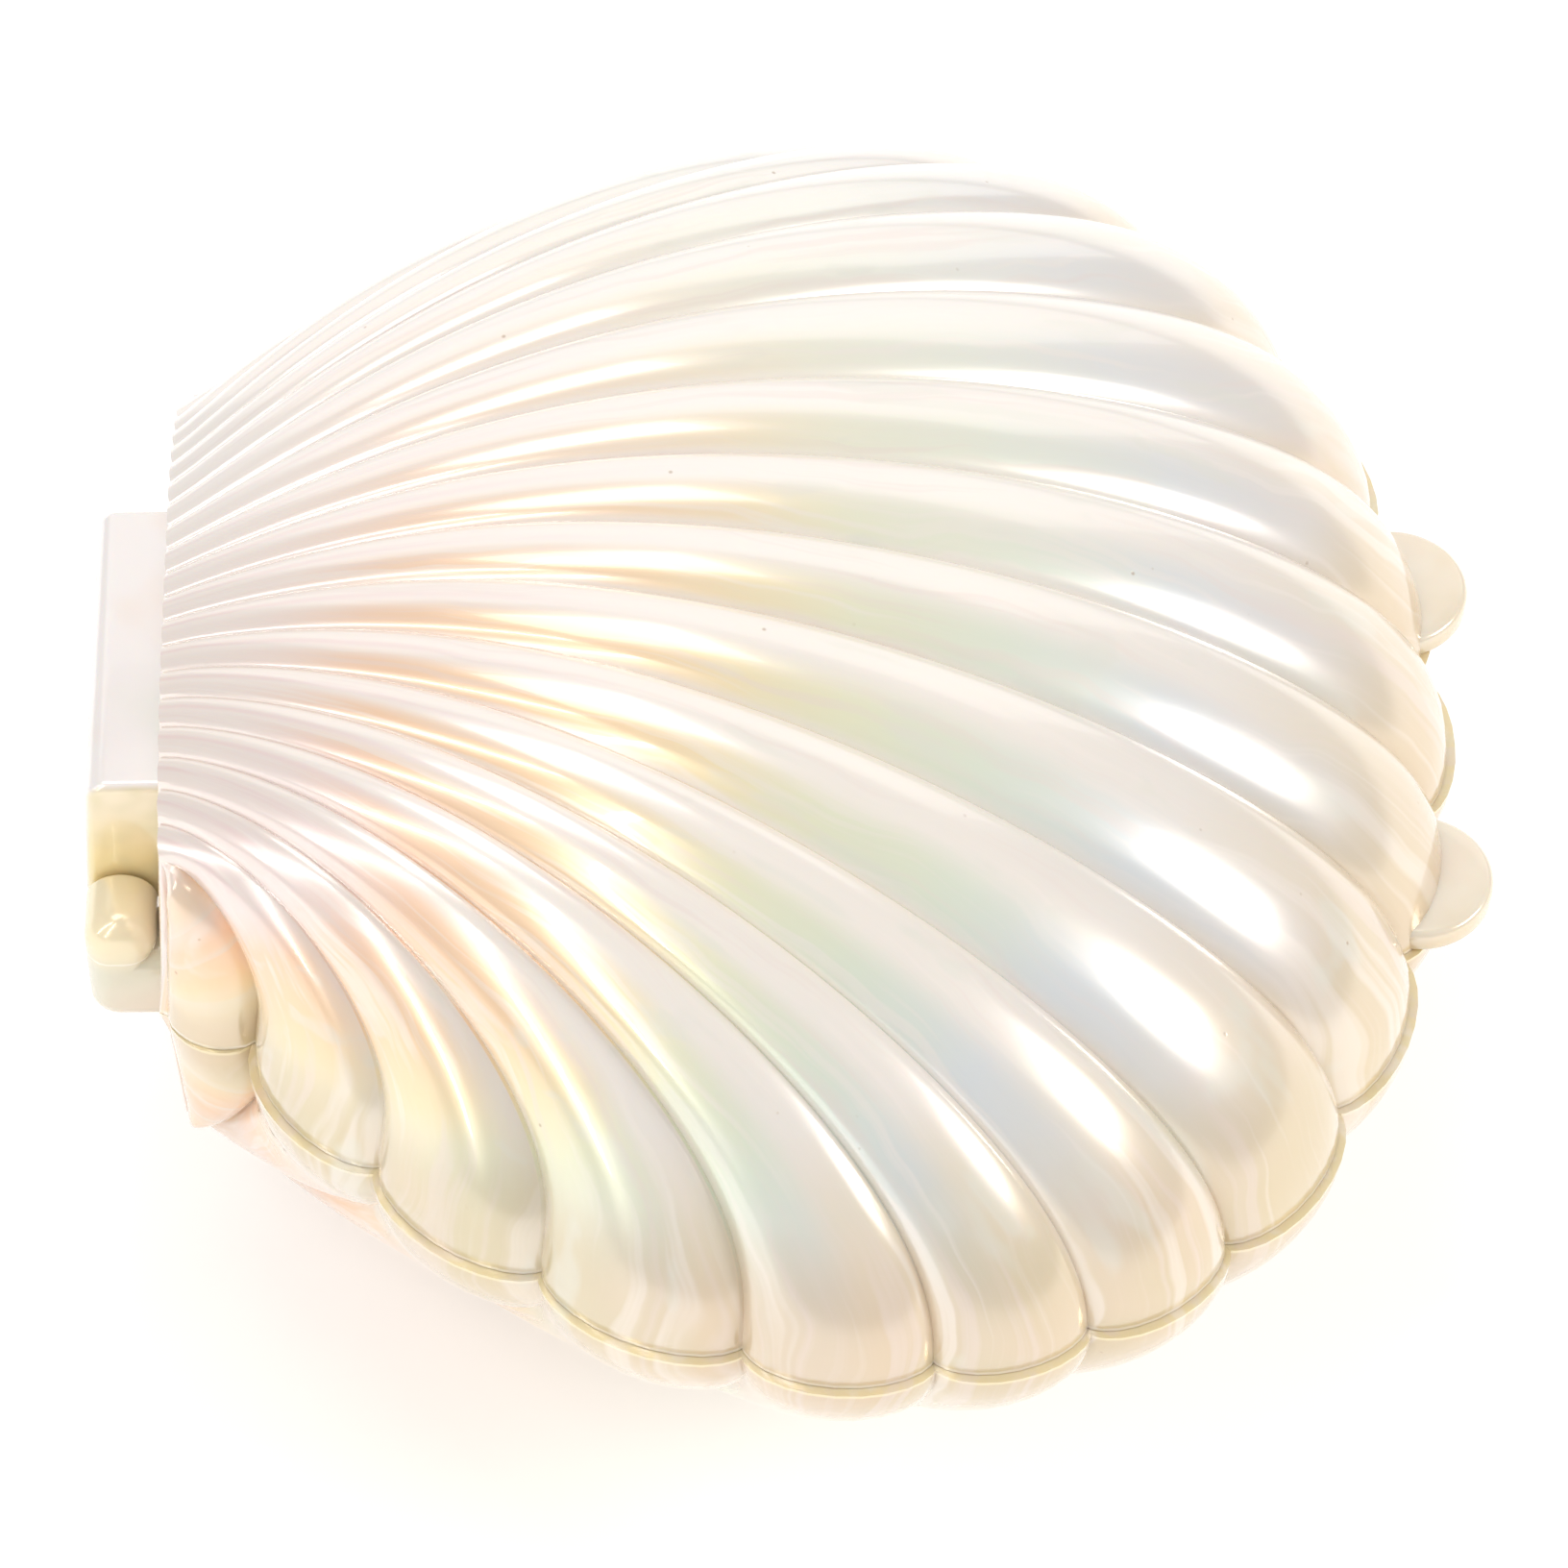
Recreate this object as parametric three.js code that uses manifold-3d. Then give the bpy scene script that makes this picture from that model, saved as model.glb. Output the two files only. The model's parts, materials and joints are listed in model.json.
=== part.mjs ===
// Bubbling clam-shell ornament: a fluted two-valve shell whose lid is lifted by trapped air.
// Millimetres. +Z is up, the hinge is toward +Y and the mouth with its thumb tabs toward -Y.
// The shell is drawn in "depth", measured from the rear edge of the fluting toward the mouth,
// with the parting plane of the two valves at height zero; the assembly then lifts it onto its feet.

import * as THREE from "three";
import { mergeVertices } from "three/addons/utils/BufferGeometryUtils.js";
import Module from "manifold-3d";

const wasm = await Module();
wasm.setup();

// ---- fits ---------------------------------------------------------------------------------------
const GAP = 0.3; // between two pieces that touch on the real object

// ---- fluted valves ------------------------------------------------------------------------------
const FLUTES = 19;
const FAN_ANGLES = [15.5, 15.5, 16, 15, 12.5, 11.5, 14, 17, 17.5, 18]; // rim per flute, middle outwards
const RIM_CENTRE = 42.2; // depth of the point the fan angles are measured about
const RIM_RADIUS = 48.6;
const RIM_SWELL = 7.35; // the outline is widest forward of the middle
const SWELL_ANGLE = 68;
const SWELL_SPREAD = 34;
const REAR_SHRINK = 3.6; // the outline draws in behind the widest point
const SHRINK_SPREAD = 50;
const ROOT_HALF = 20.8; // half of the straight line that the flutes grow from
const ROOT_HEIGHT = 20;
const ROOT_DROP = 5; // the rear edge sinks toward its ends
const CROWN_RISE = 18.8;
const CROWN_POWER = 1.3;
const CROWN_LENGTH = 90; // flute length that the crown rise is given for
const RISE_POWER = 3;
const FALL_IN = 1.6; // squareness of the dome's profile, root side and rim side
const FALL_OUT = 1.8;
const ROOT_LEAD = 0.03; // how far a flute keeps straight on at its root and at the rim
const RIM_LEAD = 0.05;
const RIM_LEAD_SIDE = 0.25;
const FLUTE_BULGE = 0.155; // crest height as a share of the flute's width
const INNER_BULGE = 0.09;
const CREST_ROUND = 0.92;
const WALL = 1.6;

// ---- ears at the two ends of the rear edge ------------------------------------------------------
const EAR_REACH = 22.9; // half width of the rear wall at the parting plane
const EAR_SETBACK = 1.0; // the rear wall leans back this far at the parting plane
const EAR_TOP_REACH = 21.6;
const EAR_TOP_DROP = 1.4;
const EAR_FACE = 0.5; // width of the ear's narrow end face, top and bottom
const EAR_FOOT = 1.4;
const EAR_BULGE = 1.3;

// ---- mesh fineness ------------------------------------------------------------------------------
const COLUMNS_PER_FLUTE = 4;
const INNER_COLUMNS = 2;
const ROWS = 10;
const ROW_CROWDING = 2.2; // rows crowd toward the rim, where the profile turns down
const REAR_ROWS = 2;
const EAR_COLUMNS = 3;

// ---- thumb tabs on the lid ----------------------------------------------------------------------
const TAB_RADIUS = 5.5;
const TAB_CENTRE_DEPTH = 89.2;
const TAB_HALF_SPACING = 13.4;
const TAB_THICK = 1.9;

// ---- hinge --------------------------------------------------------------------------------------
const AXIS_DEPTH = -3.9;
const AXIS_HEIGHT = 1.2;
const BARREL_RADIUS = 2.6;
const BAR_HALF = 12.9;
const BAR_TOP = 13.2;
const BAR_TOP_REAR = 5.9; // the bar narrows upward to this far behind the fluting
const BAR_CORNER = 1.6;
const BAR_BEVEL = 0.5;
const KNUCKLE_REACH = 18.7;
const KNUCKLE_BOTTOM = -7;
const KNUCKLE_CORNER = 2.2;
const KNUCKLE_BEVEL = 1.2;
const WALL_BITE = 0.3; // how deep bar and knuckles run into the rear wall
const PIN_RADIUS = 0.9;
const PIN_HALF = 17.2;
const PLUG_RADIUS = 1.6;
const PLUG_LENGTH = 0.8;

// ---- stand --------------------------------------------------------------------------------------
const FOOT_X = 20;
const FOOT_DEPTHS = [24, 58];
const FOOT_BOSS_RADIUS = 4.6;
const FOOT_DROP = 11.4; // the feet reach this far below the rear edge of the fluting
const FOOT_BOSS_BOTTOM = -(ROOT_HEIGHT + FOOT_DROP);
const PAD_RADIUS = 4.2;
const PAD_THICK = 1.6;
const PAD_ROUND = 0.6;

// ---- screws: one size for the works, heads 1.3 high ---------------------------------------------
const SCREW_RADIUS = 1.1;
const HEAD_RADIUS = 2.1;
const HEAD_HEIGHT = 1.3;
const SLOT_WIDTH = 0.6;
const SLOT_DEPTH = 0.5;

// ---- air stone and its holder -------------------------------------------------------------------
const STONE_RADIUS = 6;
const HOLDER_WALL = 1.3;
const HOLDER_RADIUS = STONE_RADIUS + GAP + HOLDER_WALL;
const HOLDER_HEIGHT = 8;
const HOLDER_BOLT_REACH = HOLDER_RADIUS + HEAD_RADIUS + GAP;
const HOLDER_EDGE = 2.3; // from a screw's centre to the flange's edge
const HOLDER_FLANGE_RADIUS = HOLDER_BOLT_REACH + HOLDER_EDGE;
const HOLDER_FLANGE_THICK = 1.6;
const HOLDER_FLOOR = 2.2;
const STONE_HEIGHT = 13.4;
const STONE_CROWN = 1.4;

// ---- ballast ------------------------------------------------------------------------------------
const WORKS_DEPTH = 38; // depth of the air stone, its holder, the ballast and the bell
const BALLAST_TOP = -18;
const BALLAST_THICK = 4.5;
const BALLAST_CHAMFER = 2.6; // keeps the lower edge off the sloping floor
const BALLAST_BOLT_CIRCLE = HOLDER_FLANGE_RADIUS + HEAD_RADIUS + 2 * GAP;
const BALLAST_EDGE = 4;
const BALLAST_RADIUS = BALLAST_BOLT_CIRCLE + BALLAST_EDGE;
const BALLAST_BOLTS = 3;
const BALLAST_GRIP = 2.4; // screw length inside the boss
const BOSS_RADIUS = 3.4;

// ---- air inlet, below the floor near the hinge --------------------------------------------------
const INLET_BOSS_RADIUS = 6;
const INLET_DROP = 6; // the boss hangs this far below the rear edge of the fluting
const INLET_BOSS_THICK = 4.8;
const INLET_BOSS_BOTTOM = -(ROOT_HEIGHT + INLET_DROP);
const INLET_BOSS_TOP = INLET_BOSS_BOTTOM + INLET_BOSS_THICK;
const STEM_RADIUS = 2.5;
const FLANGE_RADIUS = 4.8;
const FLANGE_THICK = 1.2;
const SEAL_RADIUS = 4.6;
const SEAL_THICK = 1.4;
const NUT_RADIUS = 5.6;
const NUT_THICK = 2.6;
const NUT_CLEARANCE = 0.4; // room between the nut's corners and the ballast
const INLET_DEPTH = WORKS_DEPTH - BALLAST_RADIUS - NUT_RADIUS - NUT_CLEARANCE;
const STEM_PROUD = 0.8; // stem above the nut
const NOZZLE_RADIUS = 1.2;
const NOZZLE_LENGTH = 3;
const TAIL_RADIUS = 1.9;
const TAIL_DROP = 3.3; // tail axis below the boss
const TAIL_LENGTH = 9;
const BARB_STEP = 0.35;
const BARBS = 3;
const BARB_LENGTH = 1.4;
const BARB_PITCH = 1.6;
const BARB_START = 0.9; // from the tail's tip to the middle of the first barb
const AIRWAY_RADIUS = 0.7;

// ---- air duct -----------------------------------------------------------------------------------
const DUCT_BORE = NOZZLE_RADIUS + GAP;
const DUCT_RADIUS = 2.3;
const DUCT_ARCH = 9; // how far the duct rises before it turns forward

// ---- deck, pearl and cup ------------------------------------------------------------------------
const DECK_TOP = -5;
const DECK_THICK = 1.5;
const DECK_INSET = 7.5; // from the rim's outline
const DECK_FAN = 118; // the outline is followed this far round from the mouth, in degrees
const DECK_STEPS = 26;
const STONE_CLEARANCE = 1.6;
const DECK_SCREW_PLACES = [[29, 30], [24, 72]];
const POST_RADIUS = 3.2;
const POST_GRIP = 5;
const PEARL_RADIUS = 8;
const PEARL_DEPTH = 66;
const PEARL_SINK = 2.1; // how deep the pearl sits in its cup
const CUP_RADIUS = 6.4;
const CUP_FOOT = 1.6;
const CUP_STEM_RADIUS = 2;
const CUP_STEM_LENGTH = 3.4;

// ---- air bell under the lid ---------------------------------------------------------------------
const BELL_RADIUS = 13;
const BELL_MOUTH = 8;
const BELL_TOP = 23.6;
const BELL_WALL = 1.2;
const BELL_CORNER = 3;
const BELL_SCREW_GRIP = 3.2;

// ---- colours ------------------------------------------------------------------------------------
const PEARL_WHITE = { color: 0xf4ead6, roughness: 0.12, metalness: 0 };
const STEEL = { color: 0xb9bcc0, roughness: 0.35, metalness: 1 };
const DARK_RUBBER = { color: 0x3a3b3d, roughness: 0.85, metalness: 0 };
const CLEAR_BLUE = { color: 0xa9c7cf, roughness: 0.3, metalness: 0 };
const STONE_GREY = { color: 0x8fa0a8, roughness: 0.95, metalness: 0 };
const DECK_CREAM = { color: 0xe6dcc4, roughness: 0.4, metalness: 0 };
const PEARL_LUSTRE = { color: 0xf7efe6, roughness: 0.15, metalness: 0.05 };

// ---- solids: three.js shapes joined and cut -----------------------------------------------------
function solid(geometry) {
  const bare = geometry.clone();
  bare.deleteAttribute("normal");
  bare.deleteAttribute("uv");
  const merged = mergeVertices(bare, 1e-4);
  const vertProperties = new Float32Array(merged.attributes.position.array);
  const triVerts = new Uint32Array(merged.index.array);
  return new wasm.Manifold(new wasm.Mesh({ numProp: 3, vertProperties, triVerts }));
}

function geometryOf(body) {
  const mesh = body.getMesh();
  const geometry = new THREE.BufferGeometry();
  geometry.setAttribute("position", new THREE.BufferAttribute(Float32Array.from(mesh.vertProperties), 3));
  geometry.setIndex(new THREE.BufferAttribute(Uint32Array.from(mesh.triVerts), 1));
  geometry.computeVertexNormals();
  return geometry;
}

// An upright cylinder between two heights; depth runs toward -Y.
function post(radius, bottom, top, x, depth, sides = 18) {
  const geometry = new THREE.CylinderGeometry(radius, radius, top - bottom, sides);
  geometry.rotateX(Math.PI / 2);
  geometry.translate(x, -depth, (top + bottom) / 2);
  return solid(geometry);
}

// A cylinder along X between two places.
function crossBar(radius, from, to, sides = 18) {
  const geometry = new THREE.CylinderGeometry(radius, radius, to - from, sides);
  geometry.rotateZ(Math.PI / 2);
  geometry.translate((from + to) / 2, -AXIS_DEPTH, AXIS_HEIGHT);
  return solid(geometry);
}

// A cylinder along the depth direction.
function depthBar(radius, from, to, height, sides = 12) {
  const geometry = new THREE.CylinderGeometry(radius, radius, to - from, sides);
  geometry.translate(0, -(from + to) / 2, height);
  return solid(geometry);
}

// A turned piece from [radius, height] points that start and end on the axis.
function turned(points, depth, sides = 28) {
  const outline = points.map(([radius, height]) => new THREE.Vector2(radius, height));
  const geometry = new THREE.LatheGeometry(outline, sides);
  geometry.rotateX(Math.PI / 2);
  geometry.translate(0, -depth, 0);
  return geometry;
}

// ---- the valve's surface ------------------------------------------------------------------------
// station: place across the fan, 0 to FLUTES, grooves at whole numbers; beyond either end is an ear.
const OUTSIDE = {
  rimRadius: RIM_RADIUS, rootHalf: ROOT_HALF, rootDepth: 0, rootHeight: ROOT_HEIGHT,
  rearHalf: EAR_REACH, rearDepth: -EAR_SETBACK, bulge: FLUTE_BULGE,
  columns: COLUMNS_PER_FLUTE, ears: EAR_COLUMNS,
};
const INSIDE = {
  rimRadius: RIM_RADIUS - WALL, rootHalf: ROOT_HALF - WALL, rootDepth: WALL, rootHeight: ROOT_HEIGHT - WALL,
  rearHalf: EAR_REACH - 2 * WALL, rearDepth: WALL - EAR_SETBACK, bulge: INNER_BULGE,
  columns: INNER_COLUMNS, ears: 0,
};

function fanAngle(station) {
  const fromMiddle = Math.abs(FLUTES / 2 - station);
  let angle = FAN_ANGLES[0] * Math.min(fromMiddle, 0.5);
  for (let k = 1; k < FAN_ANGLES.length; k++) {
    angle += FAN_ANGLES[k] * THREE.MathUtils.clamp(fromMiddle - k + 0.5, 0, 1);
  }
  return station <= FLUTES / 2 ? -angle : angle;
}

function rimPoint(degrees, radius) {
  const turn = Math.abs(degrees);
  const swell = RIM_SWELL * Math.exp(-(((turn - SWELL_ANGLE) / SWELL_SPREAD) ** 2));
  const shrink = (REAR_SHRINK * Math.max(0, turn - 90)) / SHRINK_SPREAD;
  const reach = radius + swell - shrink;
  const angle = THREE.MathUtils.degToRad(degrees);
  return new THREE.Vector2(reach * Math.sin(angle), RIM_CENTRE + reach * Math.cos(angle));
}

function flutePath(station, size) {
  const across = 1 - (2 * station) / FLUTES;
  const root = new THREE.Vector2(-size.rootHalf * across, size.rootDepth);
  const degrees = fanAngle(station);
  const rim = rimPoint(degrees, size.rimRadius);
  const tangent = rimPoint(degrees + 0.5, size.rimRadius).sub(rimPoint(degrees - 0.5, size.rimRadius));
  const outward = new THREE.Vector2(-tangent.y, tangent.x).normalize();
  const length = rim.distanceTo(root);
  const lead = root.clone().add(new THREE.Vector2(0, ROOT_LEAD * length));
  const rimLead = RIM_LEAD + RIM_LEAD_SIDE * across ** 2;
  const arrival = rim.clone().addScaledVector(outward, -rimLead * length);
  return new THREE.CubicBezierCurve(root, lead, arrival, rim);
}

function rootHeightAt(station, size) {
  const across = Math.abs(1 - (2 * station) / FLUTES);
  return size.rootHeight - ROOT_DROP * across ** 3;
}

const paths = new Map();
function pathAt(station, size) {
  const key = `${station.toFixed(4)} ${size.rimRadius}`;
  if (!paths.has(key)) paths.set(key, flutePath(station, size));
  return paths.get(key);
}

// The smooth dome through the grooves; along runs 0 at the root line to 1 at the rim.
function domePoint(station, along, size) {
  const path = pathAt(station, size);
  const place = path.getPointAt(along);
  const crown = CROWN_RISE * (path.getLength() / CROWN_LENGTH) ** CROWN_POWER;
  const fall = (1 - along ** FALL_IN) ** (1 / FALL_OUT);
  const rise = 1 - (1 - along) ** RISE_POWER;
  const height = fall * (rootHeightAt(station, size) + crown * rise);
  return new THREE.Vector3(place.x, -place.y, height);
}

function domeNormal(station, along, size) {
  const low = THREE.MathUtils.clamp(along - 0.01, 0, 0.98);
  const acrossStep = domePoint(Math.min(station + 0.05, FLUTES), along, size)
    .sub(domePoint(Math.max(station - 0.05, 0), along, size));
  const alongStep = domePoint(station, low + 0.02, size).sub(domePoint(station, low, size));
  const normal = alongStep.cross(acrossStep);
  return (along > 0.999 ? normal.setZ(0) : normal).normalize();
}

function fluteCrest(fraction) {
  const edge = Math.sqrt(1 - CREST_ROUND);
  const lift = Math.sqrt(1 - CREST_ROUND * (2 * fraction - 1) ** 2);
  return (lift - edge) / (1 - edge);
}

function flutedPoint(station, along, size) {
  const flute = Math.min(Math.floor(station + 1e-9), FLUTES - 1);
  const point = domePoint(station, along, size);
  const fraction = station - flute;
  if (fraction < 1e-6 || fraction > 1 - 1e-6) return point;
  const width = domePoint(flute, along, size).distanceTo(domePoint(flute + 1, along, size));
  return point.addScaledVector(domeNormal(station, along, size), size.bulge * width * fluteCrest(fraction));
}

// The ear on the -X side; share runs 0 at the first groove to 1 at the shell's rear corner.
function earPoint(share, along, size) {
  const groove = domePoint(0, along, size);
  const top = new THREE.Vector3(-EAR_TOP_REACH, -EAR_FACE, rootHeightAt(0, size) - EAR_TOP_DROP);
  const foot = new THREE.Vector3(-EAR_REACH - EAR_FACE, -EAR_FOOT + EAR_SETBACK, 0);
  const corner = top.lerp(foot, 1 - (1 - along) ** (1 / FALL_OUT));
  const point = groove.lerp(corner, share);
  const outward = new THREE.Vector3(-1, 0.35, along < 1 ? 0.5 : 0).normalize();
  return point.addScaledVector(outward, EAR_BULGE * Math.sin(Math.PI * share) * Math.sqrt(along));
}

function surfacePoint(station, along, size) {
  if (station < 0) return earPoint(-station, along, size);
  if (station > FLUTES) {
    const twin = earPoint(station - FLUTES, along, size);
    return twin.setX(-twin.x);
  }
  return flutedPoint(station, along, size);
}

function stationsOf(size) {
  const stations = [];
  for (let k = size.ears; k > 0; k--) stations.push(-k / size.ears);
  for (let k = 0; k <= FLUTES * size.columns; k++) stations.push(k / size.columns);
  for (let k = 1; k <= size.ears; k++) stations.push(FLUTES + k / size.ears);
  return stations;
}

// One line of the surface at a station, from the foot of the rear wall over the dome to the mouth.
function valveColumn(station, share, size, skirt) {
  const dome = [];
  for (let row = 0; row <= ROWS; row++) {
    dome.push(surfacePoint(station, 1 - (1 - row / ROWS) ** ROW_CROWDING, size));
  }
  const footX = THREE.MathUtils.lerp(-size.rearHalf, size.rearHalf, share);
  const foot = new THREE.Vector3(footX, -size.rearDepth, 0);
  const rear = [];
  for (let row = 0; row < REAR_ROWS; row++) rear.push(foot.clone().lerp(dome[0], row / REAR_ROWS));
  const column = [...rear, ...dome];
  if (skirt === 0) return column;
  return [foot.clone().setZ(-skirt), ...column, dome.at(-1).clone().setZ(-skirt)];
}

// A closed body: fluted dome, leaning rear wall and a flat cap that lies a skirt below the parting plane.
function valveBody(size, skirt) {
  const stations = stationsOf(size);
  const last = stations.length - 1;
  const columns = stations.map((station, c) => valveColumn(station, c / last, size, skirt));
  const rows = columns[0].length;
  const points = columns.flat();
  const indices = [];
  for (let c = 0; c < last; c++) {
    for (let r = 0; r < rows - 1; r++) {
      const here = c * rows + r;
      const next = here + rows;
      indices.push(here, here + 1, next, next, here + 1, next + 1);
    }
  }
  // each end is a fan from a point on the rear wall, the cap a fan from a hub amid the opening
  const pivot = skirt > 0 ? REAR_ROWS : REAR_ROWS - 1;
  for (let step = 1; step < rows - 1; step++) {
    const a = (pivot + step) % rows;
    const b = (pivot + step + 1) % rows;
    indices.push(pivot, b, a, last * rows + pivot, last * rows + a, last * rows + b);
  }
  const outline = [];
  for (let c = 0; c <= last; c++) outline.push(c * rows + rows - 1);
  for (let c = last; c >= 0; c--) outline.push(c * rows);
  const hub = points.push(new THREE.Vector3(0, -RIM_CENTRE, -skirt)) - 1;
  outline.forEach((corner, k) => indices.push(hub, outline[(k + 1) % outline.length], corner));
  const geometry = new THREE.BufferGeometry();
  geometry.setAttribute("position", new THREE.Float32BufferAttribute(points.flatMap((p) => p.toArray()), 3));
  geometry.setIndex(indices);
  return geometry;
}

// The lower valve is the upper one turned over in the parting plane.
function turnedOver(geometry) {
  const flipped = geometry.clone().scale(1, 1, -1);
  const index = flipped.index.array;
  for (let i = 0; i < index.length; i += 3) [index[i], index[i + 1]] = [index[i + 1], index[i]];
  return flipped;
}

const SKIRT = 2; // the inner body runs past the mouth so that the cut is clean
const valveOuter = valveBody(OUTSIDE, 0);
const valveInner = valveBody(INSIDE, SKIRT);
const baseSolid = solid(turnedOver(valveOuter)).translate([0, 0, -GAP / 2]);
const baseCavity = solid(turnedOver(valveInner)).translate([0, 0, -GAP / 2]);
const lidSolid = solid(valveOuter).translate([0, 0, GAP / 2]);
const lidCavity = solid(valveInner).translate([0, 0, GAP / 2]);

// ---- hinge outlines, drawn in Y and Z -----------------------------------------------------------
function alongHinge(outline, from, to, bevel) {
  const geometry = new THREE.ExtrudeGeometry(outline, {
    depth: to - from - 2 * bevel, bevelEnabled: true, bevelSize: bevel, bevelThickness: bevel,
    bevelOffset: -bevel, bevelSegments: 2, curveSegments: 8,
  });
  geometry.translate(0, 0, from + bevel);
  geometry.applyMatrix4(new THREE.Matrix4().makeBasis(
    new THREE.Vector3(0, 1, 0), new THREE.Vector3(0, 0, 1), new THREE.Vector3(1, 0, 0)));
  return solid(geometry);
}

const AXIS_Y = -AXIS_DEPTH;
const HINGE_REAR = AXIS_Y + BARREL_RADIUS;

// Angle round the barrel at which its front side passes a height.
function frontAngle(height) {
  return Math.PI - Math.asin((height - AXIS_HEIGHT) / BARREL_RADIUS);
}

function barOutline() {
  const start = frontAngle(GAP / 2);
  const outline = new THREE.Shape();
  outline.moveTo(-WALL_BITE, GAP / 2);
  outline.lineTo(AXIS_Y + BARREL_RADIUS * Math.cos(start), GAP / 2);
  outline.absarc(AXIS_Y, AXIS_HEIGHT, BARREL_RADIUS, start, 2 * Math.PI, false);
  outline.lineTo(BAR_TOP_REAR, BAR_TOP - BAR_CORNER);
  outline.absarc(BAR_TOP_REAR - BAR_CORNER, BAR_TOP - BAR_CORNER, BAR_CORNER, 0, Math.PI / 2, false);
  outline.lineTo(-WALL_BITE, BAR_TOP);
  return outline;
}

function knuckleOutline() {
  const corner = HINGE_REAR - KNUCKLE_CORNER;
  const end = frontAngle(-GAP / 2);
  const outline = new THREE.Shape();
  outline.moveTo(-WALL_BITE, -GAP / 2);
  outline.lineTo(-WALL_BITE, KNUCKLE_BOTTOM);
  outline.lineTo(corner, KNUCKLE_BOTTOM);
  outline.absarc(corner, KNUCKLE_BOTTOM + KNUCKLE_CORNER, KNUCKLE_CORNER, -Math.PI / 2, 0, false);
  outline.absarc(AXIS_Y, AXIS_HEIGHT, BARREL_RADIUS, 0, end, false);
  return outline;
}

// ---- lid ----------------------------------------------------------------------------------------
const BELL_BOSS_BOTTOM = BELL_TOP + GAP;

function thumbTab(side) {
  const disc = post(TAB_RADIUS, GAP / 2, GAP / 2 + TAB_THICK, side * TAB_HALF_SPACING, TAB_CENTRE_DEPTH, 32);
  return disc.subtract(lidCavity);
}

function lidValve() {
  const bossTop = ROOT_HEIGHT + CROWN_RISE;
  const boss = post(BOSS_RADIUS, BELL_BOSS_BOTTOM, bossTop, 0, WORKS_DEPTH).intersect(lidSolid);
  const pilotTop = BELL_TOP + BELL_SCREW_GRIP + GAP;
  return lidSolid.subtract(lidCavity)
    .add(boss)
    .add(alongHinge(barOutline(), -BAR_HALF, BAR_HALF, BAR_BEVEL))
    .add(thumbTab(-1))
    .add(thumbTab(1))
    .subtract(crossBar(PIN_RADIUS + GAP, -BAR_HALF - 1, BAR_HALF + 1))
    .subtract(post(SCREW_RADIUS + GAP, BELL_TOP - 1, pilotTop, 0, WORKS_DEPTH));
}

// ---- base ---------------------------------------------------------------------------------------
const BALLAST_BOTTOM = BALLAST_TOP - BALLAST_THICK;
const BALLAST_BOSS_TOP = BALLAST_BOTTOM - GAP;
const DECK_UNDERSIDE = DECK_TOP - DECK_THICK;
const POST_TOP = DECK_UNDERSIDE - GAP;
const KNUCKLE_START = BAR_HALF + GAP;
const INLET_FLOOR = -60;

function ballastBoltPlaces() {
  const places = [];
  for (let k = 0; k < BALLAST_BOLTS; k++) {
    const turn = Math.PI / 2 + (k * 2 * Math.PI) / BALLAST_BOLTS;
    places.push([BALLAST_BOLT_CIRCLE * Math.cos(turn), WORKS_DEPTH + BALLAST_BOLT_CIRCLE * Math.sin(turn)]);
  }
  return places;
}

function footPlaces() {
  return FOOT_DEPTHS.flatMap((depth) => [[-FOOT_X, depth], [FOOT_X, depth]]);
}

function deckScrewPlaces() {
  return DECK_SCREW_PLACES.flatMap(([x, depth]) => [[-x, depth], [x, depth]]);
}

function baseValve() {
  let body = baseSolid.subtract(baseCavity);
  for (const [x, depth] of footPlaces()) {
    body = body.add(post(FOOT_BOSS_RADIUS, FOOT_BOSS_BOTTOM, DECK_UNDERSIDE, x, depth).subtract(baseCavity));
  }
  for (const [x, depth] of ballastBoltPlaces()) {
    body = body.add(post(BOSS_RADIUS, INLET_FLOOR, BALLAST_BOSS_TOP, x, depth).intersect(baseSolid));
  }
  for (const [x, depth] of deckScrewPlaces()) {
    body = body.add(post(POST_RADIUS, INLET_FLOOR, POST_TOP, x, depth).intersect(baseSolid));
  }
  body = body.add(post(INLET_BOSS_RADIUS, INLET_BOSS_BOTTOM, INLET_BOSS_TOP, 0, INLET_DEPTH));
  body = body.subtract(post(FLANGE_RADIUS + GAP, INLET_FLOOR, INLET_BOSS_BOTTOM, 0, INLET_DEPTH));
  body = body.add(alongHinge(knuckleOutline(), -KNUCKLE_REACH, -KNUCKLE_START, KNUCKLE_BEVEL));
  body = body.add(alongHinge(knuckleOutline(), KNUCKLE_START, KNUCKLE_REACH, KNUCKLE_BEVEL));
  return body
    .subtract(crossBar(PIN_RADIUS + GAP, -PIN_HALF - GAP, KNUCKLE_REACH + 1))
    .subtract(crossBar(PLUG_RADIUS + GAP, KNUCKLE_REACH - PLUG_LENGTH - GAP, KNUCKLE_REACH + 1))
    .subtract(post(STEM_RADIUS + GAP, INLET_FLOOR, INLET_BOSS_TOP + 1, 0, INLET_DEPTH))
    .subtract(drilled(ballastBoltPlaces(), BALLAST_BOSS_TOP - BALLAST_GRIP - GAP, BALLAST_BOSS_TOP + 1))
    .subtract(drilled(deckScrewPlaces(), POST_TOP - POST_GRIP - GAP, POST_TOP + 1));
}

function drilled(places, bottom, top) {
  const holes = places.map(([x, depth]) => post(SCREW_RADIUS + GAP, bottom, top, x, depth));
  return holes.reduce((all, hole) => all.add(hole));
}

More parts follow.
